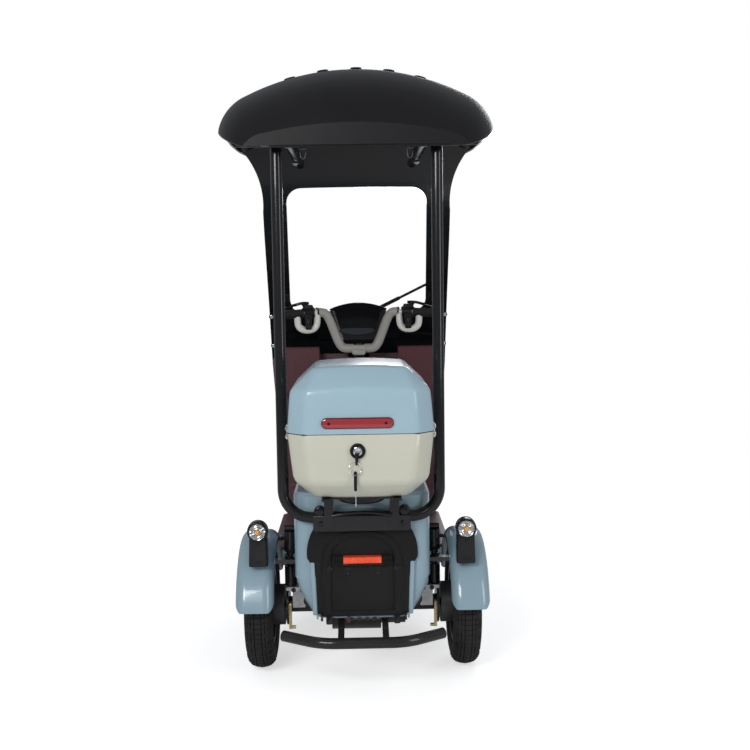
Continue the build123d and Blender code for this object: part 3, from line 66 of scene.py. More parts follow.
# %% Camera
CAMERA_AT = at(-5.9, -3097.8, 1171.9)
YAW, PITCH, ROLL = -0.01712, -0.08838, 0.01351
PHOTO_WIDTH, FOCAL_PIXELS, SENSOR_MM = 750, 1020.0, 36.0

camera_data = bpy.data.cameras.new("camera")
camera_data.sensor_width = SENSOR_MM
camera_data.lens = SENSOR_MM * FOCAL_PIXELS / PHOTO_WIDTH
camera = bpy.data.objects.new("camera", camera_data)
bpy.context.scene.collection.objects.link(camera)
turn = (Matrix.Rotation(YAW, 4, "Z") @ Matrix.Rotation(PITCH, 4, "X") @ Matrix.Rotation(ROLL, 4, "Y")
        @ Matrix.Rotation(pi / 2, 4, "X"))
camera.matrix_world = Matrix.Translation(CAMERA_AT) @ turn
bpy.context.scene.camera = camera
print("lens", round(camera_data.lens, 2), "mm")

# %% [markdown]
# A studio for a product shot: a dim world that looks white to the camera, a large soft lamp beside the
# camera, a weaker one on its other side and one in front of the tricycle, so that gloss paint shows soft
# highlights and black parts still read. The floor glows for the camera alone and keeps the shadow.

# %% Lights and floor
scene = bpy.context.scene
scene.view_settings.view_transform = "Standard"


def soft_lamp(name, place, aim, size, watts):
    data = bpy.data.lights.new(name, "AREA")
    data.shape = "RECTANGLE"
    data.size, data.size_y = size
    data.energy = watts
    lamp = bpy.data.objects.new(name, data)
    scene.collection.objects.link(lamp)
    lamp.location = place
    lamp.rotation_euler = (Vector(aim) - Vector(place)).to_track_quat("-Z", "Y").to_euler()
    return lamp


soft_lamp("key_lamp", (-1.5, -3.7, 2.3), (0, 0, 0.9), (1.6, 1.1), 74)
soft_lamp("fill_lamp", (2.5, -2.5, 1.5), (0, 0, 0.8), (1.0, 1.8), 24)
soft_lamp("front_lamp", (0.9, 3.5, 2.4), (0, 0.2, 0.9), (2.0, 1.4), 46)

world = bpy.data.worlds.new("studio")
scene.world = world
world.use_nodes = True
world_nodes, world_links = world.node_tree.nodes, world.node_tree.links
world_nodes.clear()
world_out = world_nodes.new("ShaderNodeOutputWorld")
seen_or_not = world_nodes.new("ShaderNodeMixShader")
dim = world_nodes.new("ShaderNodeBackground")
dim.inputs["Color"].default_value = (0.90, 0.93, 1.0, 1)
dim.inputs["Strength"].default_value = 0.36
white = world_nodes.new("ShaderNodeBackground")
white.inputs["Color"].default_value = (1, 1, 1, 1)
white.inputs["Strength"].default_value = 1.0
light_path = world_nodes.new("ShaderNodeLightPath")
either = world_nodes.new("ShaderNodeMath")
either.operation = "MAXIMUM"
world_links.new(light_path.outputs["Is Camera Ray"], either.inputs[0])
world_links.new(light_path.outputs["Is Transmission Ray"], either.inputs[1])
world_links.new(either.outputs[0], seen_or_not.inputs[0])
world_links.new(dim.outputs[0], seen_or_not.inputs[1])
world_links.new(white.outputs[0], seen_or_not.inputs[2])
world_links.new(seen_or_not.outputs[0], world_out.inputs["Surface"])

bpy.ops.object.select_all(action="DESELECT")
bpy.ops.mesh.primitive_plane_add(size=14, location=(0, 0, -0.001))
floor = bpy.context.object
floor.name = "studio_floor"
floor_paint = bpy.data.materials.new("studio_floor")
floor_paint.use_nodes = True
floor_nodes, floor_links = floor_paint.node_tree.nodes, floor_paint.node_tree.links
floor_shader = floor_nodes["Principled BSDF"]
floor_shader.inputs["Roughness"].default_value = 0.9
floor_shader.inputs["Specular IOR Level"].default_value = 0.1
floor_shader.inputs["Emission Color"].default_value = (1, 1, 1, 1)
floor_place = floor_nodes.new("ShaderNodeTexCoord").outputs["Object"]
from_middle = floor_nodes.new("ShaderNodeVectorMath")
from_middle.operation = "LENGTH"
floor_links.new(floor_place, from_middle.inputs[0])
far_off = floor_nodes.new("ShaderNodeMapRange")
far_off.inputs["From Min"].default_value = 1.1
far_off.inputs["From Max"].default_value = 2.4
floor_links.new(from_middle.outputs["Value"], far_off.inputs["Value"])
floor_colour = floor_nodes.new("ShaderNodeMix")
floor_colour.data_type = "RGBA"
floor_colour.inputs["A"].default_value = (0.84, 0.84, 0.84, 1)
floor_colour.inputs["B"].default_value = (0.0, 0.0, 0.0, 1)
floor_path = floor_nodes.new("ShaderNodeLightPath")


def floor_math(operation, first, second):
    node = floor_nodes.new("ShaderNodeMath")
    node.operation = operation
    node.use_clamp = True
    for socket, value in zip(node.inputs, (first, second)):
        if isinstance(value, float):
            socket.default_value = value
        else:
            floor_links.new(value, socket)
    return node.outputs[0]


seen_far = floor_math("MULTIPLY", floor_path.outputs["Is Camera Ray"], far_off.outputs["Result"])
floor_links.new(seen_far, floor_colour.inputs["Factor"])
floor_links.new(floor_colour.outputs["Result"], floor_shader.inputs["Base Color"])
glow = floor_math("ADD", 0.58, floor_math("MULTIPLY", seen_far, 0.42))
floor_links.new(floor_math("MULTIPLY", floor_path.outputs["Is Camera Ray"], glow),
                floor_shader.inputs["Emission Strength"])
floor.data.materials.append(floor_paint)

# %% [markdown]
# Several finishes share the same small flaws: paint and plastic have a fine ripple, and dust settles low
# down and on what faces up. Each flaw is a node group with named sockets, placed in a material with its
# own values. A group gives only a height or a mask; the shader stays in the material itself.

# %% Shared node groups
def new_group(name, inputs, outputs):
    group = bpy.data.node_groups.new(name, "ShaderNodeTree")
    for label, kind, value in inputs:
        socket = group.interface.new_socket(label, in_out="INPUT", socket_type=kind)
        socket.default_value = value
    for label, kind in outputs:
        group.interface.new_socket(label, in_out="OUTPUT", socket_type=kind)
    return group, group.nodes.new("NodeGroupInput"), group.nodes.new("NodeGroupOutput")


def math_node(tree, operation, first, second=None, clamp=False):
    node = tree.nodes.new("ShaderNodeMath")
    node.operation = operation
    node.use_clamp = clamp
    for socket, value in zip(node.inputs, (first, second)):
        if value is None:
            continue
        if isinstance(value, (int, float)):
            socket.default_value = value
        else:
            tree.links.new(value, socket)
    return node.outputs[0]


def noise_node(tree, coordinates, scale, detail=3.0, roughness=0.5):
    node = tree.nodes.new("ShaderNodeTexNoise")
    tree.links.new(coordinates, node.inputs["Vector"])
    node.inputs["Detail"].default_value = detail
    node.inputs["Roughness"].default_value = roughness
    if isinstance(scale, (int, float)):
        node.inputs["Scale"].default_value = scale
    else:
        tree.links.new(scale, node.inputs["Scale"])
    return node.outputs["Fac"]


# Fine surface ripple: the orange peel of paint or the grain of a mould
grain_group, grain_in, grain_out = new_group(
    "fine grain", [("Scale", "NodeSocketFloat", 600.0), ("Depth", "NodeSocketFloat", 1.0)],
    [("Height", "NodeSocketFloat")])
grain_at = grain_group.nodes.new("ShaderNodeTexCoord").outputs["Object"]
grain_noise = noise_node(grain_group, grain_at, grain_in.outputs["Scale"], 2.0)
grain_group.links.new(math_node(grain_group, "MULTIPLY", grain_noise, grain_in.outputs["Depth"]),
                      grain_out.inputs["Height"])

# Dust: more of it low down and on faces that look up
dust_group, dust_in, dust_out = new_group(
    "settled dust", [("Amount", "NodeSocketFloat", 0.3), ("Clean Above", "NodeSocketFloat", 0.7)],
    [("Mask", "NodeSocketFloat")])
dust_coord = dust_group.nodes.new("ShaderNodeTexCoord")
dust_split = dust_group.nodes.new("ShaderNodeSeparateXYZ")
dust_group.links.new(dust_coord.outputs["Object"], dust_split.inputs[0])
dust_low = math_node(dust_group, "SUBTRACT", 1.0,
                     math_node(dust_group, "DIVIDE", dust_split.outputs["Z"], dust_in.outputs["Clean Above"]),
                     clamp=True)
dust_normal = dust_group.nodes.new("ShaderNodeNewGeometry").outputs["Normal"]
dust_facing = dust_group.nodes.new("ShaderNodeSeparateXYZ")
dust_group.links.new(dust_normal, dust_facing.inputs[0])
dust_up = math_node(dust_group, "MULTIPLY", dust_facing.outputs["Z"], 0.35, clamp=True)
dust_patch = noise_node(dust_group, dust_coord.outputs["Object"], 9.0, 6.0, 0.65)
dust_sum = math_node(dust_group, "ADD", dust_low, dust_up)
dust_mask = math_node(dust_group, "MULTIPLY", math_node(dust_group, "MULTIPLY", dust_sum, dust_patch),
                      dust_in.outputs["Amount"], clamp=True)
dust_group.links.new(dust_mask, dust_out.inputs["Mask"])

# Patchy shade: a slow drift of colour that no moulding or coat is free of
shade_group, shade_in, shade_out = new_group(
    "patchy shade", [("Scale", "NodeSocketFloat", 4.0), ("Spread", "NodeSocketFloat", 0.1)],
    [("Factor", "NodeSocketFloat")])
shade_at = shade_group.nodes.new("ShaderNodeTexCoord").outputs["Object"]
shade_noise = noise_node(shade_group, shade_at, shade_in.outputs["Scale"], 5.0, 0.6)
shade_centre = math_node(shade_group, "SUBTRACT", shade_noise, 0.5)
shade_group.links.new(math_node(shade_group, "ADD", 0.5,
                                math_node(shade_group, "MULTIPLY", shade_centre, shade_in.outputs["Spread"])),
                      shade_out.inputs["Factor"])
print("node groups:", [g.name for g in bpy.data.node_groups])

# %% [markdown]
# Most finishes are a colour with a little drift, a film of dust and a fine ripple under a clear gloss.
# One maker's function lays those down, and each finish passes its own colours and numbers.

# %% Finishes
DUST = (0.36, 0.33, 0.29, 1)


def finish(name, dark, light, roughness, dust=0.25, clean_above=0.6, grain=500.0, depth=0.2, metallic=0.0,
           coat=0.0, coat_roughness=0.05, patch=4.0, spread=1.0, specular=0.5):
    """A painted, moulded or bare surface whose colour drifts between dark and light."""
    material = bpy.data.materials.new(name)
    material.use_nodes = True
    tree = material.node_tree
    nodes, links = tree.nodes, tree.links
    shader = nodes["Principled BSDF"]
    shader.inputs["Metallic"].default_value = metallic
    shader.inputs["Coat Weight"].default_value = coat
    shader.inputs["Coat Roughness"].default_value = coat_roughness
    shader.inputs["Specular IOR Level"].default_value = specular
    shade = nodes.new("ShaderNodeGroup")
    shade.node_tree = shade_group
    shade.inputs["Scale"].default_value = patch
    shade.inputs["Spread"].default_value = spread
    tint = nodes.new("ShaderNodeMix")
    tint.data_type = "RGBA"
    tint.inputs["A"].default_value = (*dark, 1)
    tint.inputs["B"].default_value = (*light, 1)
    links.new(shade.outputs["Factor"], tint.inputs["Factor"])
    film = nodes.new("ShaderNodeGroup")
    film.node_tree = dust_group
    film.inputs["Amount"].default_value = dust
    film.inputs["Clean Above"].default_value = clean_above
    dusty = nodes.new("ShaderNodeMix")
    dusty.data_type = "RGBA"
    dusty.inputs["B"].default_value = DUST
    links.new(film.outputs["Mask"], dusty.inputs["Factor"])
    links.new(tint.outputs["Result"], dusty.inputs["A"])
    links.new(dusty.outputs["Result"], shader.inputs["Base Color"])
    rough = math_node(tree, "ADD", roughness, math_node(tree, "MULTIPLY", film.outputs["Mask"], 0.5), clamp=True)
    links.new(rough, shader.inputs["Roughness"])
    ripple = nodes.new("ShaderNodeGroup")
    ripple.node_tree = grain_group
    ripple.inputs["Scale"].default_value = grain
    ripple.inputs["Depth"].default_value = 1.0
    bump = nodes.new("ShaderNodeBump")
    bump.inputs["Strength"].default_value = depth
    bump.inputs["Distance"].default_value = 0.0005
    links.new(ripple.outputs["Height"], bump.inputs["Height"])
    links.new(bump.outputs["Normal"], shader.inputs["Normal"])
    return material


# The body's own pale blue, painted darker than the lid's blue: painted shade of the lower body, mudguards and strips.
shaded_body_blue = finish("shaded_body_blue_paint", (0.235, 0.345, 0.405), (0.27, 0.39, 0.455), 0.20, dust=0.12, coat=0.5,
                   grain=260.0, depth=0.05, specular=0.4)
lid_blue = finish("lid_blue_plastic", (0.31, 0.44, 0.51), (0.35, 0.49, 0.56), 0.26, dust=0.06, coat=0.25,
                  grain=300.0, depth=0.03, specular=0.3)
base_cream = finish("base_cream_plastic", (0.52, 0.52, 0.42), (0.58, 0.58, 0.48), 0.24, dust=0.10, coat=0.3,
                    grain=300.0, depth=0.05, specular=0.4)
burgundy = finish("burgundy_plastic", (0.052, 0.013, 0.017), (0.080, 0.019, 0.024), 0.36, dust=0.14, grain=900.0,
                  depth=0.35, specular=0.4)
tube_black = finish("black_tube_paint", (0.005, 0.005, 0.006), (0.009, 0.009, 0.010), 0.18, dust=0.07, coat=0.3,
                    grain=350.0, depth=0.08, specular=0.25)
gloss_black = finish("gloss_black_plastic", (0.004, 0.004, 0.005), (0.007, 0.007, 0.008), 0.15, dust=0.04,
                     coat=0.25, grain=200.0, depth=0.05, specular=0.22)
moulded_black = finish("moulded_black_plastic", (0.006, 0.006, 0.007), (0.011, 0.011, 0.012), 0.44, dust=0.07,
                       grain=1400.0, depth=0.5, specular=0.14)
roof_black = finish("roof_black_plastic", (0.006, 0.006, 0.007), (0.010, 0.010, 0.011), 0.40, dust=0.06,
                    clean_above=0.3, grain=1100.0, depth=0.30, specular=0.2)
bar_cream = finish("bar_cream_paint", (0.58, 0.57, 0.52), (0.66, 0.65, 0.60), 0.32, dust=0.08, coat=0.2,
                   grain=300.0, depth=0.08, specular=0.35)
# The bar's cream at about half brightness: painted shade on the middle of the handlebar and its saddle.
shaded_bar_cream = finish("shaded_bar_cream_plastic", (0.27, 0.26, 0.235), (0.33, 0.32, 0.29), 0.42, dust=0.10, grain=900.0,
                  depth=0.3, specular=0.35)
display_glass = finish("display_glass", (0.030, 0.034, 0.040), (0.045, 0.050, 0.058), 0.10, dust=0.03, coat=0.6,
                       grain=200.0, depth=0.03)
soft_rubber = finish("black_rubber", (0.007, 0.007, 0.007), (0.013, 0.013, 0.013), 0.62, dust=0.16, grain=1200.0,
                     depth=0.5, specular=0.22)
tyre_rubber = finish("tyre_rubber", (0.007, 0.007, 0.008), (0.012, 0.012, 0.013), 0.66, dust=0.10, grain=900.0,
                     depth=0.5, specular=0.2)
rim_silver = finish("silver_rim_paint", (0.045, 0.047, 0.050), (0.075, 0.078, 0.082), 0.35, dust=0.20, metallic=0.6,
                    grain=700.0, depth=0.2)
galvanised = finish("galvanised_steel", (0.40, 0.41, 0.42), (0.58, 0.59, 0.60), 0.38, dust=0.20, metallic=0.9,
                    grain=90.0, depth=0.25, patch=60.0, spread=2.2)
yellow_zinc = finish("yellow_zinc_plate", (0.50, 0.40, 0.16), (0.72, 0.62, 0.34), 0.34, dust=0.20, metallic=0.9,
                     grain=400.0, depth=0.2, patch=40.0, spread=2.4)
bright_chrome = finish("chrome", (0.62, 0.62, 0.63), (0.72, 0.72, 0.73), 0.10, dust=0.05, metallic=1.0,
                       grain=500.0, depth=0.03)
lamp_silver = finish("lamp_bowl_silver", (0.26, 0.27, 0.28), (0.46, 0.47, 0.48), 0.22, dust=0.04, metallic=1.0,
                     grain=240.0, depth=0.3)
seat_vinyl = finish("black_seat_vinyl", (0.008, 0.008, 0.009), (0.015, 0.015, 0.016), 0.42, dust=0.08,
                    grain=700.0, depth=0.7, patch=12.0, specular=0.3)
battery_case = finish("battery_case", (0.012, 0.012, 0.013), (0.02, 0.02, 0.022), 0.5, grain=800.0, depth=0.4)
red_lens = finish("red_reflector", (0.26, 0.012, 0.018), (0.36, 0.020, 0.026), 0.12, dust=0.04, coat=0.8,
                  grain=120.0, depth=0.05)
tail_red = finish("tail_lamp_red", (0.85, 0.045, 0.012), (1.00, 0.13, 0.030), 0.16, dust=0.0, coat=0.5,
                  grain=160.0, depth=0.2, patch=90.0, spread=2.0)
white_lens = finish("headlamp_lens", (0.60, 0.62, 0.64), (0.78, 0.80, 0.82), 0.10, dust=0.05, coat=0.8,
                    grain=60.0, depth=0.1)
amber_bulb = finish("amber_bulb", (0.75, 0.30, 0.03), (0.90, 0.42, 0.06), 0.20, dust=0.0, coat=0.5, grain=80.0,
                    depth=0.1)


def clear_plastic(name, colour, roughness, alpha):
    """A pane or lens that lets light through, with a faint film of dust."""
    material = bpy.data.materials.new(name)
    material.use_nodes = True
    tree = material.node_tree
    shader = tree.nodes["Principled BSDF"]
    shader.inputs["Base Color"].default_value = (*colour, 1)
    shader.inputs["Roughness"].default_value = roughness
    shader.inputs["Transmission Weight"].default_value = 1.0
    shader.inputs["IOR"].default_value = 1.02
    shader.inputs["Specular IOR Level"].default_value = 0.5
    coordinates = tree.nodes.new("ShaderNodeTexCoord").outputs["Object"]
    smears = noise_node(tree, coordinates, 14.0, 6.0, 0.6)
    tree.links.new(math_node(tree, "ADD", alpha, math_node(tree, "MULTIPLY", smears, 0.06), clamp=True),
                   shader.inputs["Alpha"])
    return material


screen_pane = clear_plastic("clear_screen", (0.96, 0.98, 0.98), 0.02, 0.08)
lamp_glass = clear_plastic("clear_lamp_lens", (0.97, 0.97, 0.95), 0.03, 0.30)

# %% [markdown]
# The rear mudguards are one piece with the brackets that hold them, and on the real tricycle those are
# black. A mask on the distance from the vehicle's middle turns the same paint black there, which is
# simpler than cutting the piece in two.

# %% Mudguard paint with black brackets
GUARD_INNER_FACE = 0.2592   # metres from the middle; the brackets lie inside it
# The mudguard paint copies the body blue with its painted shade, and turns it black on the brackets.
shaded_fender_blue = shaded_body_blue.copy()
shaded_fender_blue.name = "shaded_mudguard_paint"
tree = shaded_fender_blue.node_tree
fender_shader = tree.nodes["Principled BSDF"]
blue_out = fender_shader.inputs["Base Color"].links[0].from_socket
across = tree.nodes.new("ShaderNodeSeparateXYZ")
tree.links.new(tree.nodes.new("ShaderNodeTexCoord").outputs["Object"], across.inputs[0])
beyond = math_node(tree, "GREATER_THAN", math_node(tree, "ABSOLUTE", across.outputs["X"]), GUARD_INNER_FACE)
two_paints = tree.nodes.new("ShaderNodeMix")
two_paints.data_type = "RGBA"
two_paints.inputs["A"].default_value = (0.006, 0.006, 0.007, 1)
tree.links.new(beyond, two_paints.inputs["Factor"])
tree.links.new(blue_out, two_paints.inputs["B"])
tree.links.new(two_paints.outputs["Result"], fender_shader.inputs["Base Color"])

# %% [markdown]
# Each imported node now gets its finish. The table reads like the maker's paint list.

# %% Paint list
PAINT_LIST = {
    "body_shell": shaded_body_blue, "rear_fender_left": shaded_fender_blue, "rear_fender_right": shaded_fender_blue,
    "front_fender": shaded_body_blue, "front_cowl": shaded_body_blue, "floor_skirt": shaded_body_blue,
    "rear_panel": moulded_black, "tail_lamp": red_lens, "box_reflector": red_lens,
    "box_base": base_cream, "box_lid": lid_blue, "box_lock": moulded_black,
    "roof": roof_black, "roof_hoop": tube_black, "box_rack": tube_black, "rear_bumper": tube_black,
    "main_frame": tube_black, "rear_axle": tube_black, "fork": tube_black, "bar_clamp": tube_black,
    "windscreen_frame": gloss_black, "windscreen_glass": screen_pane, "wiper_motor": moulded_black,
    "wiper": moulded_black, "floorboard": burgundy, "leg_shield": burgundy,
    "handlebar": bar_cream, "grip_left": soft_rubber, "grip_right": soft_rubber,
    "controls_left": moulded_black, "controls_right": moulded_black, "instrument_hood": moulded_black,
    "indicator_left": moulded_black, "indicator_right": moulded_black,
    "indicator_lens_left": lamp_glass, "indicator_lens_right": lamp_glass,
    "headlamp": white_lens, "front_indicators": amber_bulb,
    "front_tyre": tyre_rubber, "rear_tyre_left": tyre_rubber, "rear_tyre_right": tyre_rubber,
    "front_rim": rim_silver, "rear_rim_left": rim_silver, "rear_rim_right": rim_silver,
    "spring_perch_left": galvanised, "spring_perch_right": galvanised,
    "shock_left": tube_black, "shock_right": tube_black,
    "brake_lever_left": yellow_zinc, "brake_lever_right": yellow_zinc,
    "battery": battery_case, "seat_pan": moulded_black, "seat_pad": seat_vinyl,
}
for node_name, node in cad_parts.items():
    node.data.materials.clear()
    node.data.materials.append(PAINT_LIST[node_name])
print("painted", len(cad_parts), "nodes")

# %% [markdown]
# The pieces that follow are modelled as by hand: add a primitive, go into edit mode, select by place or by
# the way a face looks, and extrude, inset or bevel. A script has no mouse, so a few small helpers take its
# place: one clears the selection, one selects by a test, and one applies a modifier.

# %% Modelling helpers
import bmesh

SHARP = 60   # degrees between two faces, past which a helper rounds their edge
OUT = {"back": (0, -1, 0), "front": (0, 1, 0), "up": (0, 0, 1), "right": (1, 0, 0), "left": (-1, 0, 0)}


def hold(piece):
    """Leaves edit mode and selects one object alone."""
    if bpy.context.mode != "OBJECT":
        bpy.ops.object.mode_set(mode="OBJECT")
    bpy.ops.object.select_all(action="DESELECT")
    if piece:
        piece.select_set(True)
        bpy.context.view_layer.objects.active = piece


def edit(piece):
    hold(piece)
    bpy.ops.object.mode_set(mode="EDIT")


def pick(kind, test):
    """Selects the verts, edges or faces that pass test(place, facing, angle), and returns how many."""
    mesh = bpy.context.object.data
    bpy.ops.mesh.select_mode(type={"verts": "VERT", "edges": "EDGE", "faces": "FACE"}[kind])
    bpy.ops.mesh.select_all(action="DESELECT")
    work = bmesh.from_edit_mesh(mesh)
    count = 0
    for part in getattr(work, kind):
        angle = 0.0
        if kind == "verts":
            place, facing = part.co, part.normal
        elif kind == "faces":
            place, facing = part.calc_center_median(), part.normal
        else:
            place = (part.verts[0].co + part.verts[1].co) / 2
            facing = (part.verts[1].co - part.verts[0].co).normalized()
            angle = degrees(part.calc_face_angle(0.0))
        if test(place, facing, angle):
            part.select_set(True)
            count += 1
    work.select_flush_mode()
    bmesh.update_edit_mesh(mesh)
    return count


def bevel(width, segments=1, profile=0.5):
    bpy.ops.mesh.bevel(offset=width / 1000, segments=segments, profile=profile, affect="EDGES", clamp_overlap=True)


def inset(width, depth=0.0, each=False):
    bpy.ops.mesh.inset(thickness=width / 1000, depth=depth / 1000, use_individual=each, use_even_offset=True)


def pull(value):
    """Extrudes what is selected by a vector in millimetres."""
    bpy.ops.mesh.extrude_region_move(TRANSFORM_OT_translate={"value": tuple(v / 1000 for v in value)})


def shift(value):
    bpy.ops.transform.translate(value=tuple(v / 1000 for v in value))


def widen(value, about):
    bpy.ops.transform.resize(value=value, center_override=tuple(at(*about)))


def modify(piece, kind, **settings):
    """Adds a modifier with its settings and applies it."""
    hold(piece)
    modifier = piece.modifiers.new(kind.lower(), kind)
    for key, value in settings.items():
        setattr(modifier, key, value)
    bpy.ops.object.modifier_apply(modifier=modifier.name)


def settle(piece):
    """Moves an object's place, turn and scale into its mesh, so that the object sits at the origin."""
    hold(piece)
    bpy.ops.object.transform_apply(location=True, rotation=True, scale=True)
    return piece


def block(name, low, high):
    """A box between two corners in vehicle millimetres."""
    low, high = at(*low), at(*high)
    hold(None)
    bpy.ops.mesh.primitive_cube_add(size=1, location=(low + high) / 2)
    piece = bpy.context.object
    piece.name, piece.scale = name, high - low
    return settle(piece)


def drum(name, place, radius, length, toward=(0, -1, 0), sides=32):
    """A round bar centred on a place, its axis along a direction."""
    hold(None)
    turn = Vector(toward).to_track_quat("Z", "Y").to_euler()
    bpy.ops.mesh.primitive_cylinder_add(vertices=sides, radius=radius / 1000, depth=length / 1000,
                                        location=at(*place), rotation=turn)
    bpy.context.object.name = name
    return settle(bpy.context.object)


def ring(name, place, radius, wire, toward=(0, -1, 0), sides=48, around=10):
    hold(None)
    turn = Vector(toward).to_track_quat("Z", "Y").to_euler()
    bpy.ops.mesh.primitive_torus_add(major_radius=radius / 1000, minor_radius=wire / 1000, major_segments=sides,
                                     minor_segments=around, location=at(*place), rotation=turn)
    bpy.context.object.name = name
    return settle(bpy.context.object)


def wire(name, points, radius, closed=False, rough=4, kind="NURBS"):
    """A round wire or tube along points in millimetres, made a mesh."""
    hold(None)
    data = bpy.data.curves.new(name, "CURVE")
    data.dimensions = "3D"
    line = data.splines.new(kind)
    line.points.add(len(points) - 1)
    for knot, point in zip(line.points, points):
        knot.co = (*at(*point), 1)
    line.order_u = 3 if kind == "NURBS" else 2
    line.use_endpoint_u = True
    line.use_cyclic_u = closed
    data.bevel_depth = radius / 1000
    data.bevel_resolution = rough
    data.use_fill_caps = True
    piece = bpy.data.objects.new(name, data)
    scene.collection.objects.link(piece)
    hold(piece)
    bpy.ops.object.convert(target="MESH")
    return bpy.context.object


def copy_piece(piece, name, offset=(0, 0, 0), mirrored=False):
    """A copy with its own mesh, moved by millimetres or mirrored across the vehicle's middle."""
    hold(piece)
    bpy.ops.object.duplicate(linked=False)
    twin = bpy.context.object
    twin.name = name
    if mirrored:
        twin.scale.x = -1
    twin.location = Vector(offset) / 1000
    settle(twin)
    if mirrored:
        edit(twin)
        bpy.ops.mesh.select_all(action="SELECT")
        bpy.ops.mesh.normals_make_consistent(inside=False)
        hold(twin)
    return twin


def merge(pieces, name):
    """Joins several meshes in one object."""
    hold(pieces[0])
    for piece in pieces:
        piece.select_set(True)
    bpy.ops.object.join()
    bpy.context.object.name = name
    return bpy.context.object


def dress(piece, material, body="chassis", angle=38):
    """Finish, smooth shading and body of a finished piece."""
    hold(piece)
    piece.data.materials.clear()
    piece.data.materials.append(material)
    bpy.ops.object.shade_smooth_by_angle(angle=radians(angle))
    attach(piece, body)
    return piece


def soften(piece, width, segments, test=None):
    """Bevels the sharp edges, or those of them whose place passes the test, and stays in edit mode."""
    edit(piece)
    pick("edges", lambda p, d, a: a > SHARP and (test is None or test(p)))
    bevel(width, segments)


def cut_through(place, facing):
    """Cuts the whole mesh by a plane, given in metres."""
    bpy.ops.mesh.select_all(action="SELECT")
    bpy.ops.mesh.bisect(plane_co=place, plane_no=facing)


# %% [markdown]
# The top box is two moulded trays that meet at a seam. Each is a block whose sides taper, with its upright
# corners and its far edges cut off at a slant, and every crease then rounded. Modelling the solid first
# and giving it a wall last keeps the inside parallel to the outside.

# %% Top box: lid
BOX_BACK, BOX_FRONT, BOX_SIDE = -512, -132, 192
TRAY_COLUMNS = (-0.11, -0.075, -0.04, 0, 0.04, 0.075, 0.11)   # metres from the middle, where the crown bends


def slant_tray(name, seam_z, far_z, narrow, corner, far_cut, crown, rounding):
    """One half of the box, open at the seam."""
    low_z, high_z = sorted((seam_z, far_z))
    tray = block(name, (-BOX_SIDE, BOX_BACK, low_z), (BOX_SIDE, BOX_FRONT, high_z))
    far, away = far_z / 1000, 1 if far_z > seam_z else -1
    edit(tray)
    for x in TRAY_COLUMNS:
        cut_through((x, 0, 0), (1, 0, 0))
    pick("verts", lambda p, n, a: abs(p.z - far) < 0.001)
    widen(((BOX_SIDE - narrow) / BOX_SIDE, 1, 1), (0, 0, 0))
    for x in TRAY_COLUMNS:
        lift = crown * (1 - (x / 0.135) ** 2) * away
        column = x * (BOX_SIDE - narrow) / BOX_SIDE
        pick("verts", lambda p, n, a: abs(p.z - far) < 0.002 and abs(p.x - column) < 0.004)
        shift((0, 0, lift))
    pick("edges", lambda p, d, a: abs(d.z) > 0.9 and abs(p.x) > 0.16)
    bevel(corner)
    pick("edges", lambda p, d, a: a > 55 and abs(d.z) < 0.5 and (p.z - far) * away > -0.004)
    bevel(far_cut)
    pick("edges", lambda p, d, a: a > 16 and abs(p.z - seam_z / 1000) > 0.002)
    bevel(rounding, 5)
    pick("faces", lambda p, n, a: n.z * away < -0.9 and abs(p.z - seam_z / 1000) < 0.001)
    bpy.ops.mesh.delete(type="FACE")
    modify(tray, "SOLIDIFY", thickness=0.004, offset=-1)
    return tray


lid_shell = slant_tray("lid_shell", 791, 958, 14, 44, 56, 7, 24)
soften(lid_shell, 1.0, 2, lambda p: p.z < 0.7915)
dress(lid_shell, lid_blue, "box_lid", 30)
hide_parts("box_lid")
print("lid faces", len(lid_shell.data.polygons))

# %% [markdown]
# The base is the same tray, turned over: deeper, a little narrower at the foot, with a nearly flat floor.

# %% Top box: base
base_shell = slant_tray("base_shell", 790, 618, 20, 44, 46, 2, 18)
soften(base_shell, 1.0, 2, lambda p: p.z > 0.7895)
dress(base_shell, base_cream, "chassis", 30)
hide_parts("box_base")
print("base faces", len(base_shell.data.polygons))

# %% [markdown]
# A dark rubber cord lies in the seam and keeps rain out; from behind it draws the thin line between the
# blue and the cream. It follows the eight-sided plan of the box, just inside the walls.

# %% Top box: seam cord, hinges and side clips
cut, wall = 44, 1.2
plan = [(BOX_SIDE - wall, y) for y in (BOX_BACK + cut, BOX_FRONT - cut)]
plan += [(BOX_SIDE - cut, BOX_FRONT - wall), (-BOX_SIDE + cut, BOX_FRONT - wall)]
plan += [(-BOX_SIDE + wall, y) for y in (BOX_FRONT - cut, BOX_BACK + cut)]
plan += [(-BOX_SIDE + cut, BOX_BACK + wall), (BOX_SIDE - cut, BOX_BACK + wall)]
seam_cord = wire("seam_gasket", [(x, y, 790.5) for x, y in plan], 1.3, closed=True, kind="POLY")
dress(seam_cord, soft_rubber)

for x, low, owner in ((105, 762, "chassis"), (126, 793, "box_lid")):
    leaf = block("hinge_leaf", (x - 10, -132.4, low), (x + 10, -129.4, low + 26))
    edit(leaf)
    pick("edges", lambda p, d, a: abs(d.y) > 0.9 and abs(p.z - 0.79) > 0.012)
    bevel(6, 4)
    pick("faces", lambda p, n, a: n.y > 0.999)
    inset(3, 0.6)
    knuckle = drum("hinge_knuckle", (x, -126.7, 790.5), 5, 20, (1, 0, 0), 24)
    edit(knuckle)
    pick("faces", lambda p, n, a: abs(n.x) > 0.9)
    inset(1.6, -1.0, each=True)
    hinge = merge([leaf, knuckle], "hinge_" + ("lid" if owner == "box_lid" else "base"))
    other = copy_piece(hinge, hinge.name + "_left", mirrored=True)
    for part in (hinge, other):
        dress(part, moulded_black, owner)

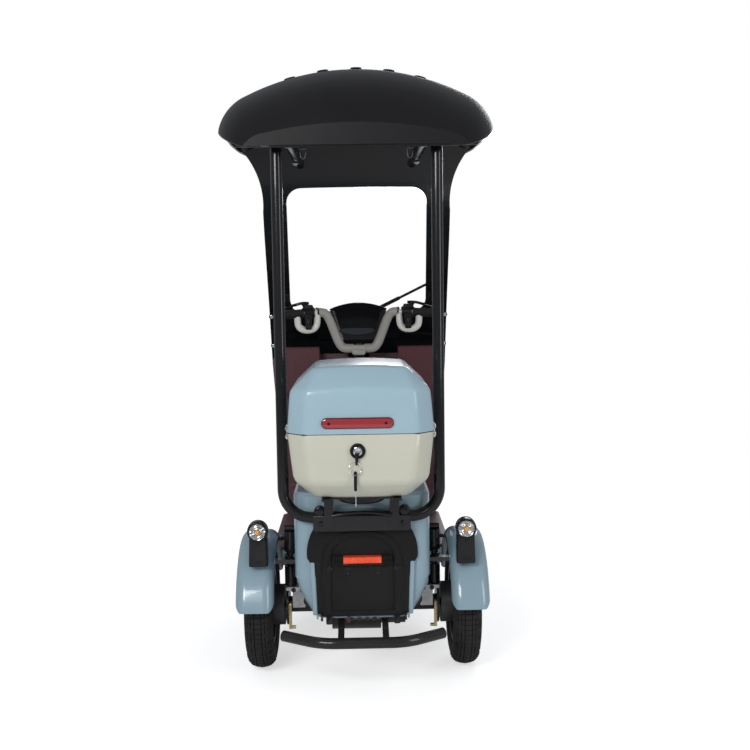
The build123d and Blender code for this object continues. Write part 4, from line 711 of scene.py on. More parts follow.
clip = block("side_clip", (192.6, -430, 768), (200, -396, 806))
edit(clip)
for z in (0.776, 0.785, 0.789, 0.798):
    cut_through((0, 0, z), (0, 0, 1))
pick("verts", lambda p, n, a: p.x > 0.199 and (
    abs(p.z - 0.787) < 0.004 or abs(p.z - 0.768) < 0.001 or p.z > 0.805))
shift((-4.0, 0, 0))
pick("edges", lambda p, d, a: a > 20)
bevel(1.8, 3)
dress(clip, bright_chrome)
dress(copy_piece(clip, "side_clip_left", mirrored=True), bright_chrome)

# %% [markdown]
# The reflector is a pill of red plastic on a dark seat, held by two screws. A pill is a block with its four
# short edges bevelled by half its height. The same screw serves all over the tricycle.

# %% Reflector and screws
def pill(name, low, high, round_by, face_inset, face_out):
    piece = block(name, low, high)
    edit(piece)
    pick("edges", lambda p, d, a: abs(d.y) > 0.9)
    bevel(round_by, 10)
    pick("faces", lambda p, n, a: n.y < -0.999)
    inset(face_inset, face_out)
    return piece


def screw(name, place, radius=5.0, toward=OUT["back"], proud=3.0, sides=16):
    """A pan head screw with a round recess in its head, its seat at the place."""
    way = Vector(toward).normalized()
    head = drum(name, tuple(Vector(place) + way * proud / 2), radius, proud, toward, sides)
    edit(head)
    pick("edges", lambda p, d, a: a > 60 and (p - at(*place)).dot(way) > proud / 1500)
    bevel(min(radius, proud) * 0.45, 3)
    pick("faces", lambda p, n, a: n.dot(way) > 0.999 and (p - at(*place)).dot(way) > proud / 1200)
    inset(radius * 0.34)
    inset(radius * 0.10, -proud * 0.35)
    hold(head)
    return head


reflector_lens = pill("reflector_lens", (-99, -518.0, 808), (83, -514.0, 832), 11.6, 2.5, 1.2)
reflector_seat = pill("reflector_seat", (-101, -514.6, 806), (85, -512.0, 834), 13.6, 1.5, 0.3)
dress(reflector_lens, red_lens, "box_lid")
dress(reflector_seat, moulded_black, "box_lid")
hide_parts("box_reflector")
for x, z in ((-81.7, 820), (65.0, 820)):
    dress(screw("reflector_screw", (x, -519.0, z), 3.6, proud=1.5), moulded_black, "box_lid")

# %% [markdown]
# The lock has a black collar round a chrome barrel. One key is in it, its black head turned edge-on, and a
# second hangs below on a split ring. A key is a thin bow and a narrow blade with a few cuts.

# %% Lock and keys
LOCK = (-8.6, -512.3, 748)
collar = drum("lock_collar", (LOCK[0], LOCK[1] - 3.5, LOCK[2]), 20, 7, sides=48)
soften(collar, 3.5, 4, lambda p: p.y < at(0, -518, 0).y)
pick("faces", lambda p, n, a: n.y < -0.999)
inset(3.0)
inset(1.0, -1.2)
dress(collar, moulded_black)
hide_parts("box_lock")
barrel = drum("lock_barrel", (LOCK[0], LOCK[1] - 7.0, LOCK[2]), 11.5, 3.4, sides=40)
edit(barrel)
pick("faces", lambda p, n, a: n.y < -0.999)
inset(2.5, 0.9)
inset(1.2)
pick("faces", lambda p, n, a: n.y < -0.999 and (p - at(*LOCK)).xz.length < 0.007)
inset(2.0, -0.6)
dress(barrel, bright_chrome)

bow = block("key_bow", (LOCK[0] - 8, LOCK[1] - 10.6, 712), (LOCK[0] + 5, LOCK[1] - 7.0, 744))
edit(bow)
pick("verts", lambda p, n, a: p.z < 0.713)
widen((0.35, 1, 1), (LOCK[0] - 5, 0, 0))
pick("edges", lambda p, d, a: abs(d.y) > 0.9)
bevel(2.2, 4)
pick("edges", lambda p, d, a: a > 60)
bevel(0.8, 2)
dress(bow, moulded_black)
split_ring = ring("key_ring", (-15.5, -521.2, 703), 16.5, 1.0, (0.25, -1, 0.1))
dress(split_ring, bright_chrome)
spare_bow = block("spare_key_bow", (-19.5, -523.5, 645), (-11.5, -519.0, 697))
edit(spare_bow)
pick("edges", lambda p, d, a: abs(d.y) > 0.9)
bevel(3.8, 5)
pick("edges", lambda p, d, a: a > 60)
bevel(1.0, 2)
pick("faces", lambda p, n, a: n.y < -0.999)
inset(1.2, -0.5)
dress(spare_bow, moulded_black)
blade = block("spare_key_blade", (-16.6, -522.2, 606), (-14.0, -520.2, 646))
edit(blade)
for z in (0.612, 0.616, 0.621, 0.626, 0.631):
    cut_through((0, 0, z), (0, 0, 1))
pick("verts", lambda p, n, a: p.x < -0.016 and (abs(p.z - 0.616) < 0.001 or abs(p.z - 0.626) < 0.001))
shift((0.9, 0, 0))
dress(blade, bright_chrome)
print("lock at", LOCK)

# %% [markdown]
# The roof is one moulded sheet with seven raised ribs that run from front to back and stiffen it. A rib
# could be drawn by hand along the dome, but a flat strip that is dropped on to the roof with a Shrinkwrap
# modifier follows it exactly. The strip is then lifted and given sides.

# %% Roof: ribs
RIB_HALF, RIB_RISE = 17, 6
roof_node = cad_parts["roof"]
rib_pieces = []
for x, back, front in ((-292, 70, 700), (-196, 10, 740), (-96, -20, 760), (3, -30, 765), (101, -20, 760),
                       (196, 10, 740), (290, 70, 700)):
    hold(None)
    middle = at(x, (back + front) / 2, 1900)
    bpy.ops.mesh.primitive_grid_add(x_subdivisions=4, y_subdivisions=44, size=1, location=middle)
    rib = bpy.context.object
    rib.name = "roof_rib"
    rib.scale = (2 * RIB_HALF / 1000, (front - back) / 1000, 1)
    settle(rib)
    edit(rib)
    end_back, end_front = at(0, back, 0).y, at(0, front, 0).y
    for limit, size in ((0.001, 0.45), (0.019, 0.86)):
        pick("verts", lambda p, n, a: min(p.y - end_back, end_front - p.y) < limit)
        widen((size, 1, 1), (x, 0, 0))
    modify(rib, "SHRINKWRAP", target=roof_node, wrap_method="PROJECT", use_project_z=True,
           use_negative_direction=True, use_positive_direction=False)
    edit(rib)
    bpy.ops.mesh.select_all(action="SELECT")
    bpy.ops.mesh.extrude_region_shrink_fatten(TRANSFORM_OT_shrink_fatten={"value": RIB_RISE / 1000})
    rim = pick("edges", lambda p, d, a: 55 < a < 125)
    bevel(2.2, 2)
    modify(rib, "WEIGHTED_NORMAL", keep_sharp=True)
    rib_pieces.append(rib)
roof_ribs = merge(rib_pieces, "roof_ribs")
dress(roof_ribs, roof_black, angle=50)
print("roof ribs", len(rib_pieces))

# %% [markdown]
# The rim of the roof is rolled outward, which shows as a bright line along its lower edge. A round wire
# laid along the rim does this. Two small hooks for a rain curtain hang from the rear rail.

# %% Roof: rolled rim and curtain hooks
rim_stations = [(0, -336, 1542), (150, -336, 1542), (288, -335, 1542), (326, -300, 1556), (360, -250, 1576),
                (384, -150, 1600), (400, -60, 1622), (413, 80, 1638), (418, 230, 1648), (425, 430, 1655),
                (426, 640, 1659), (420, 740, 1662), (412, 810, 1664)]
edge_right = wire("rim_right", rim_stations, 4.2)
edge_left = wire("rim_left", [(-x, y, z) for x, y, z in rim_stations], 4.2)
rolled_rim = merge([edge_right, edge_left], "roof_rolled_rim")
dress(rolled_rim, gloss_black)
hook_line = [(-151, -300, 1540), (-152, -302, 1526), (-150, -303, 1515), (-144.5, -303, 1511), (-139, -303, 1515),
             (-137, -302, 1526), (-137, -300, 1540)]
hook = wire("curtain_hook", hook_line, 1.6)
hook_plate = block("hook_plate", (-155, -306, 1537), (-134, -296, 1544))
soften(hook_plate, 2.5, 3)
hook = merge([hook, hook_plate], "curtain_hook_left")
dress(hook, rim_silver)
dress(copy_piece(hook, "curtain_hook_right", mirrored=True), rim_silver)

# %% [markdown]
# Two bows run across under the roof and meet it at a rubber pad. From the side one also sees the roof
# bolts. The bolt is the same pan head screw with a broad washer.

# %% Roof: bolts with washers
for side in (-1, 1):
    for y in (60, 520):
        washer = drum("roof_bolt_washer", (side * 212, y, 1596), 11, 3, (0, 0, -1), 28)
        soften(washer, 0.9, 2)
        bolt = screw("roof_bolt", (side * 212, y, 1594.5), 6.5, (0, 0, -1), 5)
        dress(merge([washer, bolt], "roof_bolt"), galvanised)

# %% [markdown]
# A tyre is a round section carried once round the axle. Its tread is cut into blocks, which Blender can
# make from the spun faces themselves: each face of the tread band is inset on its own and raised. The
# section starts as a circle that is squashed to the tyre's width and height.

# %% Tyres
TYRE_RADIUS, SECTION_HALF, AXLE_HEIGHT = 188, 43, 188


def treaded_tyre(name, x, y):
    hold(None)
    middle_r = (TYRE_RADIUS + 108) / 2
    crown = TYRE_RADIUS - 4 - middle_r
    bpy.ops.mesh.primitive_circle_add(vertices=30, radius=1, location=at(x, y, AXLE_HEIGHT + middle_r),
                                      rotation=(pi / 2, 0, 0))
    tyre = bpy.context.object
    tyre.name = name
    tyre.scale = (SECTION_HALF / 1000, crown / 1000, 1)
    settle(tyre)
    edit(tyre)
    top = at(0, 0, AXLE_HEIGHT + middle_r + crown * 0.80).z
    pick("verts", lambda p, n, a: p.z > top)
    bpy.ops.transform.resize(value=(1.12, 1, 1.0), center_override=tuple(at(x, y, 0)))
    bpy.ops.mesh.select_all(action="SELECT")
    bpy.ops.mesh.spin(steps=72, angle=tau, center=at(x, y, AXLE_HEIGHT), axis=(1, 0, 0))
    bpy.ops.mesh.select_all(action="SELECT")
    bpy.ops.mesh.remove_doubles(threshold=0.00005)
    bpy.ops.mesh.normals_make_consistent(inside=False)
    hub = at(x, y, AXLE_HEIGHT)
    step = tau / 72

    def lands_on(place, rows, shifted):
        row = int(((atan2(place.z - hub.z, place.y - hub.y)) % tau) / step)
        return (row + shifted) % rows

    def out_from(place):
        return hypot(place.y - hub.y, place.z - hub.z)

    blocks = pick("faces", lambda p, n, a: out_from(p) > 0.164 and (
        (abs(p.x - hub.x) < 0.020 and abs(p.x - hub.x) > 0.004) or
        (0.020 <= abs(p.x - hub.x) < 0.040 and lands_on(p, 3, 1 if p.x > hub.x else 2) != 0)))
    inset(1.5, 0, each=True)
    bpy.ops.transform.shrink_fatten(value=0.004)
    pick("faces", lambda p, n, a: out_from(p) > 0.170 and abs(p.x - hub.x) <= 0.004)
    inset(0.6, 0)
    bpy.ops.transform.shrink_fatten(value=0.0032)
    for flank in (0.138, 0.146):
        pick("edges", lambda p, d, a: abs(out_from(p) - flank) < 0.0035 and abs(d.x) < 0.2)
        bevel(0.8)
    hold(tyre)
    print(name, "tread blocks", blocks, "faces", len(tyre.data.polygons))
    return tyre


front_tread = treaded_tyre("front_treaded_tyre", 0, 1065)
dress(front_tread, tyre_rubber, "front_wheel", 32)
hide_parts("front_tyre")
for word, x in (("left", -310), ("right", 310)):
    rear = copy_piece(front_tread, "rear_treaded_tyre_" + word, (x, -1065, 0))
    dress(rear, tyre_rubber, "rear_wheel_" + word, 32)
    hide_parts("rear_tyre_" + word)

# %% [markdown]
# Each wheel has an air valve, and each rear wheel a ring of hub bolts. The bolts are copies of one hexagon head, set
# round the axle by turning the copy about it.

# %% Wheels: valves and hub bolts
def hex_bolt(name, place, radius, height, toward):
    way = Vector(toward)
    bolt = drum(name, tuple(Vector(place) + way * height / 2), radius, height, toward, 6)
    edit(bolt)
    pick("faces", lambda p, n, a: n.dot(way) > 0.999)
    inset(radius * 0.2)
    shift(tuple(way * height * 0.25))
    hold(bolt)
    return bolt


for word, x, body, side in (("left", -310, "rear_wheel_left", -1), ("right", 310, "rear_wheel_right", 1)):
    ring_parts = []
    for turn_by in range(5):
        a = turn_by * tau / 5 + 0.63
        place = (x + side * 22, 50 * cos(a), 188 + 50 * sin(a))
        ring_parts.append(hex_bolt("hub_bolt", place, 6.5, 5, (side, 0, 0)))
    dress(merge(ring_parts, "hub_bolts_" + word), galvanised, body)
    stem = wire("valve_stem_" + word, [(x + side * 4, 0, 289), (x + side * 12, 0, 282), (x + side * 22, 0, 276)], 3.4)
    dress(stem, soft_rubber, body)
front_stem = wire("valve_stem_front", [(4, 1065, 289), (12, 1065, 282), (22, 1065, 276)], 3.4)
dress(front_stem, soft_rubber, "front_wheel")

# %% [markdown]
# The black rear panel is a moulding with a raised arch, a round-topped recess and a row of screws under
# the tail lamp. The arch is half a round rod laid on the panel, and its foot ends run down both sides.

# %% Rear panel: arch, recess lip and screws
PANEL_FACE, RECESS_FACE = -256.3, -253.3
arch_half = [(0, 476), (40, 473), (76, 462), (102, 440), (115, 405), (120, 350), (119, 290), (113, 246)]
arch_line = [(-x, PANEL_FACE, z) for x, z in reversed(arch_half)] + [(x, PANEL_FACE, z) for x, z in arch_half[1:]]
arch = wire("panel_arch", arch_line, 2.6)
lip_half = [(0, 462.5), (34, 459), (62, 449), (82, 433), (91, 408), (91, 330), (91, 262), (86, 246)]
lip_line = [(-x, PANEL_FACE, z) for x, z in reversed(lip_half)] + [(x, PANEL_FACE, z) for x, z in lip_half[1:]]
lip = wire("recess_lip", lip_line, 1.6)
dress(merge([arch, lip], "rear_panel_mouldings"), moulded_black)
for x, face in ((-92.6, PANEL_FACE), (-41.4, RECESS_FACE), (43.9, RECESS_FACE), (97.2, PANEL_FACE)):
    z = 369.0
    seat = drum("screw_seat", (x, face - 0.8, z), 9, 2.2, sides=28)
    soften(seat, 0.8, 2)
    dress(merge([seat, screw("panel_screw", (x, face - 1.7, z), 5.4, proud=2.6)], "panel_screw"), gloss_black)

# %% [markdown]
# The tail lamp is a long red lens between two ribbed ends. Cutting the lens into narrow facets and pushing
# every second edge out gives the fluting that scatters light.

# %% Tail lamp
lens = block("tail_lamp_lens", (-54, -273.5, 386), (54, -253.6, 406))
edit(lens)
for k in range(-26, 27):
    cut_through((k * 0.002, 0, 0), (1, 0, 0))
pick("verts", lambda p, n, a: p.y < at(0, -273, 0).y and round(p.x * 500) % 2 == 0)
shift((0, -1.3, 0))
pick("edges", lambda p, d, a: abs(d.x) > 0.6 and a > 60 and p.y < at(0, -270, 0).y)
bevel(4.5, 3)
dress(lens, tail_red, angle=12)
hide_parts("tail_lamp")
fins = []
for side in (-1, 1):
    for k in range(6):
        x = side * (60.5 + k * 4.2)
        fin = block("lamp_fin", (x - 1.1, -275.6, 386.5), (x + 1.1, -270.5, 405.5))
        soften(fin, 0.9, 2, lambda p: p.y < at(0, -273, 0).y)
        hold(fin)
        fins.append(fin)
dress(merge(fins, "tail_lamp_fins"), moulded_black)
under = block("tail_lamp_ledge", (-60, -268, 379.5), (60, -252.6, 384.5))
soften(under, 1.6, 3)
dress(under, gloss_black)

# %% [markdown]
# An indicator is a round black housing with a clear lens over an amber bulb. The lens is a shallow dome
# of flat facets, which is what makes it sparkle, so it stays flat shaded. Behind it sits a silver bowl.

# %% Indicators
LAMP = Vector((302, -205, 466))


def indicator(word, side):
    x, y, z = side * LAMP.x, LAMP.y, LAMP.z
    head = drum("indicator_head", (x, y + 16, z), 30.0, 32, sides=44)
    soften(head, 3, 3)
    stalk = block("indicator_stalk", (x - 28, y + 6, 360), (x + 28, y + 68, 458))
    edit(stalk)
    pick("verts", lambda p, n, a: p.z < 0.361 and p.y > at(0, -140, 0).y)
    shift((0, -23, 0))
    pick("verts", lambda p, n, a: p.z > 0.457)
    widen((0.88, 1, 1), (x, 0, 0))
    pick("edges", lambda p, d, a: a > 60)
    bevel(6, 4)
    pick("faces", lambda p, n, a: n.y < -0.999)
    inset(5, -1.2)
    body = merge([head, stalk], "indicator_body_" + word)
    dress(body, gloss_black)
    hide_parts("indicator_" + word)
    rim = ring("indicator_rim_" + word, (x, y - 1, z), 26.0, 2.6)
    dress(rim, gloss_black)
    bowl = drum("indicator_bowl_" + word, (x, y - 0.8, z), 24.0, 2.0, sides=12)
    edit(bowl)
    pick("faces", lambda p, n, a: n.y < -0.999)
    for _ in range(2):
        inset(7.5)
    bpy.ops.mesh.poke()
    pick("faces", lambda p, n, a: n.y < -0.999)
    bpy.ops.mesh.poke(offset=-0.0016)
    dress(bowl, lamp_silver, angle=1)
    lens = drum("indicator_facets_" + word, (x, y - 4, z), 24.0, 5.0, sides=12)
    edit(lens)
    pick("faces", lambda p, n, a: n.y < -0.999)
    inset(6, 2.2)
    inset(6, 1.8)
    inset(5, 1.0)
    bpy.ops.mesh.poke()
    dress(lens, lamp_glass, angle=1)
    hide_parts("indicator_lens_" + word)
    hold(None)
    bpy.ops.mesh.primitive_uv_sphere_add(segments=20, ring_count=12, radius=0.0075, location=at(x, y - 4.6, z))
    bulb = bpy.context.object
    bulb.name = "indicator_bulb_" + word
    bulb.scale = (1, 0.55, 1)
    settle(bulb)
    edit(bulb)
    pick("faces", lambda p, n, a: n.y < -0.9)
    inset(1.0, 0.5)
    dress(bulb, amber_bulb)
    for dz in (376, 428):
        dress(screw("stalk_screw", (x, y + 6.6, dz), 3.2, proud=1.6), gloss_black)


indicator("left", -1)
indicator("right", 1)
print("indicators at", tuple(LAMP))

# %% [markdown]
# The plate behind the hoop is held by domed nuts, and a black rubber dome between the rack's legs keeps the box from
# rattling. It is a disc with a wide rounded bevel on its lower edge and a small one on its top edge.

# %% Plate nuts and rack buffer
for x in (-115, 115):
    nut = hex_bolt("plate_nut", (x, -285.6, 505.5), 7.5, 5, OUT["back"])
    dome = drum("nut_dome", (x, -291.8, 505.5), 5, 3, sides=20)
    soften(dome, 2.6, 3, lambda p: p.y < at(0, -293, 0).y)
    dress(merge([nut, dome], "plate_nut"), gloss_black)
for x in (-118, 120):
    cap = drum("post_cap", (x, -277, 540), 16, 20, sides=36)
    soften(cap, 6, 4, lambda p: p.y < at(0, -280, 0).y)
    dress(cap, gloss_black)
buffer = drum("rack_buffer", (0, -330, 596), 74, 30, (0, 0, 1), 56)
soften(buffer, 24, 6, lambda p: p.z < 0.585)
pick("edges", lambda p, d, a: a > 60 and p.z > 0.605)
bevel(3, 2)
dress(buffer, gloss_black)
bow_line = [(-84, -296, 530), (-50, -299, 538), (0, -301, 541), (50, -299, 538), (84, -296, 530)]
bowed_bar = wire("bowed_bar", bow_line, 5)
dress(bowed_bar, tube_black)
plate_edge = block("plate_edge", (-136, -288.5, 525), (136, -279, 528.2))
soften(plate_edge, 1.2, 2)
dress(plate_edge, tube_black)

# %% [markdown]
# Thin strips of the body colour stand beside the panel, and the cheeks carry a small tab on each side.

# %% Body strips and tabs
for side, word in ((-1, "left"), (1, "right")):
    for name, near, far, face, low, high, lean, paint, slot in (
            ("panel_border_", 112, 136, -257.4, 236, 386, 5, moulded_black, "black_plastic"),
            ("body_strip_", 136.4, 149, -259.2, 234, 388, 6, shaded_body_blue, "blue")):
        x0, x1 = sorted((side * near, side * far))
        strip = block(name + word, (x0, face, low), (x1, -249, high))
        edit(strip)
        pick("verts", lambda p, n, a: p.z < (low + 1) / 1000)
        shift((-side * lean, 0, 0))
        pick("edges", lambda p, d, a: a > 60 and p.y < at(0, -250, 0).y)
        bevel(3.6, 4)
        dress(strip, paint)
    tab = block("bumper_tab_" + word, (side * 97 - 9, -262, 208), (side * 97 + 9, -259, 234))
    edit(tab)
    pick("edges", lambda p, d, a: abs(d.y) > 0.9)
    bevel(4, 4)
    pick("faces", lambda p, n, a: abs(n.y) > 0.999)
    inset(2.5, -0.6, each=True)
    dress(tab, tube_black)

# %% [markdown]
# Under the panel hang small fittings: a chain of links between two pegs, a red tag and a pair of black pegs. Each
# shock absorber has an open coil spring, and a perch is held by two bolts.

# %% Fittings under the panel and shock springs
links = []
for k in range(9):
    link = ring("chain_link", (-44 + k * 11, -266, 226), 4.2, 1.1, (0, -1, 0) if k % 2 else (0, 0, 1), 16, 6)
    edit(link)
    bpy.ops.mesh.select_all(action="SELECT")
    widen((1.35, 1, 1), (-44 + k * 11, -266, 226))
    hold(link)
    links.append(link)
dress(merge(links, "chain_strip"), rim_silver)
for x in (-117, 121):
    peg = wire("lower_peg", [(x, -256, 238), (x, -268, 238), (x, -276, 236), (x, -278, 224)], 3.4)
    dress(peg, tube_black)
tag = block("release_tag", (-47, -266, 214), (-36, -262, 232))
edit(tag)
pick("edges", lambda p, d, a: abs(d.y) > 0.9)
bevel(3, 3)
pick("faces", lambda p, n, a: n.y < -0.999)
inset(2, 0.6)
dress(tag, burgundy)
TURNS, COIL_LOW, COIL_HIGH = 7, 286, 410
coil_points = []
for k in range(TURNS * 12 + 1):
    turn = tau * k / 12
    coil_points.append((218 + 15 * cos(turn), -58 + 15 * sin(turn),
                        COIL_LOW + (COIL_HIGH - COIL_LOW) * k / (TURNS * 12)))
spring = wire("shock_spring_right", coil_points, 3.6, rough=2)
dress(spring, tube_black)
dress(copy_piece(spring, "shock_spring_left", mirrored=True), tube_black)
for side in (-1, 1):
    for dx in (-13, 13):
        bolt = hex_bolt("perch_bolt", (side * 196 + dx, -84, 258), 7.5, 6, OUT["back"])
        dress(bolt, tube_black)
# %% [markdown]
# The stout cover of the handlebar is a moulding round the middle of the bar, with a saddle over the clamp; both are
# painted in the bar's cream at about half brightness, as painted shade. It follows a smooth line from one grip stub
# to the other.

# %% Handlebar: cover and saddle
half_line = [(30, 757, 933), (58, 761, 933), (74, 763, 952), (90, 759, 994), (106, 751, 1038), (120, 745, 1064),
             (134, 740, 1071), (147, 737, 1071)]
cover_line = [(-x, y, z) for x, y, z in reversed(half_line)] + [(0, 756, 934)] + half_line
cover = wire("bar_cover", cover_line, 17.0, rough=6)
soften(cover, 2.5, 3, lambda p: abs(p.x) > 0.13)
dress(cover, shaded_bar_cream, "steering")
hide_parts("handlebar")
for side, word in ((-1, "left"), (1, "right")):
    end = wire("bar_end_" + word, [(side * 118, 745, 1072), (side * 208, 722.5, 1068), (side * 298, 700, 1064)], 12,
               rough=6)
    guard_line = [(x, y, z) for x, y, z in ((154, 736, 1066), (154, 734, 1040), (157, 733, 1020), (170, 731, 1007),
                                            (190, 727, 1004), (210, 722, 1007), (224, 718, 1020), (227, 717, 1040),
                                            (227, 718, 1062))]
    guard = wire("guard_loop_" + word, [(side * x, y, z) for x, y, z in guard_line], 12.6, rough=6)
    soften(guard, 1.5, 2)
    dress(merge([end, guard], "bar_end_and_guard_" + word), bar_cream, "steering")
saddle = block("bar_saddle", (-31, 736, 908), (31, 758, 930))
edit(saddle)
pick("verts", lambda p, n, a: p.z < 0.909)
widen((0.72, 1, 1), (0, 0, 0))
pick("edges", lambda p, d, a: a > 40)
bevel(7, 4)
dress(saddle, shaded_bar_cream, "steering")
for side in (-1, 1):
    collar = drum("stub_collar", (side * 152, 735.8, 1070.5), 14.5, 5, (side * 0.97, -0.24, -0.04), 32)
    soften(collar, 1.5, 3)
    dress(collar, moulded_black, "steering")

# %% [markdown]
# The instrument hood is a shallow shell with an arched top and a recessed face that holds a lens-shaped
# display. Columns cut into a block let the top be lifted into an arch, and the face is inset and pushed in.

# %% Instrument hood and display
hood = block("hood_shell", (-108, 786, 952), (108, 824, 1082))
columns = [k * 0.018 for k in range(-5, 6)]
edit(hood)
for x in columns:
    cut_through((x, 0, 0), (1, 0, 0))
for x in columns:
    pick("verts", lambda p, n, a: p.z > 1.081 and abs(p.x - x) < 0.001)
    shift((0, 0, 23 * (1 - (x / 0.108) ** 2)))
pick("verts", lambda p, n, a: p.z > 1.07)
shift((0, -18, 0))
pick("verts", lambda p, n, a: p.z < 0.953)
widen((0.62, 1, 1), (0, 0, 0))
pick("faces", lambda p, n, a: n.y < -0.9)
inset(7)
shift((0, 5, 0))
inset(9)
shift((0, 4, 0))
pick("edges", lambda p, d, a: a > 28)
bevel(2.6, 3)
dress(hood, gloss_black, "steering", 30)
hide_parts("instrument_hood")
display = drum("display", (-3, 786.5, 999), 66, 6, (0, -1, 0.13), 56)
edit(display)
bpy.ops.mesh.select_all(action="SELECT")
bpy.ops.transform.resize(value=(1, 1, 0.235), center_override=tuple(at(-3, 786.5, 999)))
pick("faces", lambda p, n, a: n.y < -0.9)
inset(3, -1.0)
dress(display, display_glass, "steering")
for x in (-46, 0, 46):
    lamp = drum("tell_tale", (x, 789.0, 1040), 4.5, 5, (0, -1, 0.13), 20)
    soften(lamp, 1.4, 3)
    dress(lamp, display_glass, "steering")

# %% [markdown]
# Each lever pivots on a bolt in its housing, beside a small silver adjuster and a switch with a toggle.

# %% Controls: pivots, adjusters and switches
for side, word in ((-1, "left"), (1, "right")):
    x = side * 186
    parts = [screw("pivot", (x + side * 6, 740, 1098), 5, (0, 0, 1), 3)]
    adjuster = drum("adjuster", (side * 160, 752, 1082), 5.5, 20, (-side, 0.2, 0.3), 14)
    edit(adjuster)
    pick("faces", lambda p, n, a: abs(n.dot(Vector((-side, 0.2, 0.3)).normalized())) > 0.999)
    inset(1.6, 3.0, each=True)
    pick("edges", lambda p, d, a: a > 60)
    bevel(0.6, 2)
    parts.append(adjuster)
    dress(merge(parts, "lever_fittings_" + word), bright_chrome, "steering")
    bell = block("bell_" + word, (x - 17, 712, 1086), (x + 17, 738, 1100))
    soften(bell, 5, 4, lambda p: p.z > 1.09)
    pick("faces", lambda p, n, a: n.z > 0.999)
    inset(4, -1.0)
    dress(bell, moulded_black, "steering")
    pod = block("switch_pod_" + word, (x - 15, 704, 1008), (x + 15, 722, 1066))
    edit(pod)
    pick("verts", lambda p, n, a: p.z < 1.009)
    widen((0.72, 1, 1), (x, 0, 0))
    pick("edges", lambda p, d, a: a > 60)
    bevel(5, 4)
    pick("faces", lambda p, n, a: n.y < -0.999)
    inset(3.5, -1.0)
    dress(pod, moulded_black, "steering")
    lever = wire("brake_lever_arm_" + word, [(x, 726, 1104), (x + side * 20, 739, 1106), (x + side * 56, 743, 1098),
                                             (x + side * 92, 732, 1090)], 4.4, rough=4)
    edit(lever)
    bpy.ops.mesh.select_all(action="SELECT")
    widen((1, 1, 1.25), (x, 740, 1098))
    dress(lever, tube_black, "steering")
    fist = block("control_fist_" + word, (x - 24, 716, 1050), (x + 24, 748, 1092))
    soften(fist, 9, 5)
    dress(fist, moulded_black, "steering")
    toggle = block("toggle_" + word, (x - 5, 700.5, 1030), (x + 5, 712, 1048))
    soften(toggle, 2.4, 3)
    pick("faces", lambda p, n, a: n.y < -0.999)
    inset(1.5, -0.8)
    dress(toggle, gloss_black, "steering")
print("handlebar dressed")

# %% [markdown]
# A grip has shallow grooves for the hand and a flange at its inner end. Rings bisected along it are
# pulled in one after the other.

# %% Grips
RUN = Vector((180, -45, -8)).normalized()


def ribbed_grip(word, side):
    run = Vector((side * RUN.x, RUN.y, RUN.z))
    inner = Vector((side * (298 - 94 * RUN.x), 700 - 94 * RUN.y, 1064 - 94 * RUN.z))
    middle = inner + run * 49
    grip = drum("ribbed_grip_" + word, tuple(middle), 17, 98, tuple(run), 36)
    start = at(*inner)
    edit(grip)
    for k in range(1, 24):
        cut_through(tuple(start + run * k * 0.004), tuple(run))
    for k in range(2, 22, 2):
        centre = start + run * k * 0.004
        pick("verts", lambda p, n, a: abs((p - centre).dot(run)) < 0.0008)
        bpy.ops.transform.resize(value=(0.92, 0.92, 0.92), center_override=tuple(centre))
    pick("verts", lambda p, n, a: (p - start).dot(run) < 0.0006)
    bpy.ops.transform.resize(value=(1.18, 1.18, 1.18), center_override=tuple(start))
    pick("edges", lambda p, d, a: a > 60 and (p - start).dot(run) > 0.09)
    bevel(4, 4)
    dress(grip, soft_rubber, "steering", 30)
    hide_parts("grip_" + word)


ribbed_grip("left", -1)
ribbed_grip("right", 1)

# %% [markdown]
# The windscreen frame is bolted to the shield at both edges, with a rubber grommet under each bolt. The wiper has an
# arm on a pivot nut and a blade with a squeegee.

# %% Windscreen bolts and wiper
for x, y, z in ((-336, 881, 1053), (336, 881, 1053), (-334, 921, 938), (334, 921, 938)):
    grommet = drum("grommet", (x, y - 1.0, z), 11, 5, (0, -1, 0), 28)
    soften(grommet, 1.6, 3)
    dress(grommet, soft_rubber)
    dress(screw("screen_bolt", (x, y - 3.2, z), 7, proud=4.2, sides=20), bright_chrome)

SCREEN_TILT = radians(15.5)
up_screen = Vector((0, -sin(SCREEN_TILT), cos(SCREEN_TILT)))
out_screen = Vector((0, cos(SCREEN_TILT), sin(SCREEN_TILT)))
wiper_foot = Vector((20, 980, 898)) + up_screen * 152
along = Vector((1, 0, 0)) * cos(radians(27)) + up_screen * sin(radians(27))
arm_points = [tuple(wiper_foot + out_screen * (16 + lift) + along * run)
              for run, lift in ((0, 2), (26, 5), (60, 4), (110, 1), (158, -1))]
arm = wire("wiper_arm", arm_points, 4.6, rough=3)
blade_points = [tuple(wiper_foot + out_screen * 10 + along * run) for run in (18, 90, 160, 230, 302)]
blade_back = wire("wiper_blade", blade_points, 3.6, rough=3)
squeegee = wire("wiper_squeegee", [tuple(Vector(p) - out_screen * 4.2) for p in blade_points], 1.5, rough=2)
pivot_nut = hex_bolt("wiper_nut", tuple(wiper_foot + out_screen * 20), 7.5, 6, tuple(out_screen))
wiper_piece = merge([arm, blade_back, squeegee, pivot_nut], "wiper_assembly")
dress(wiper_piece, moulded_black, "wiper")
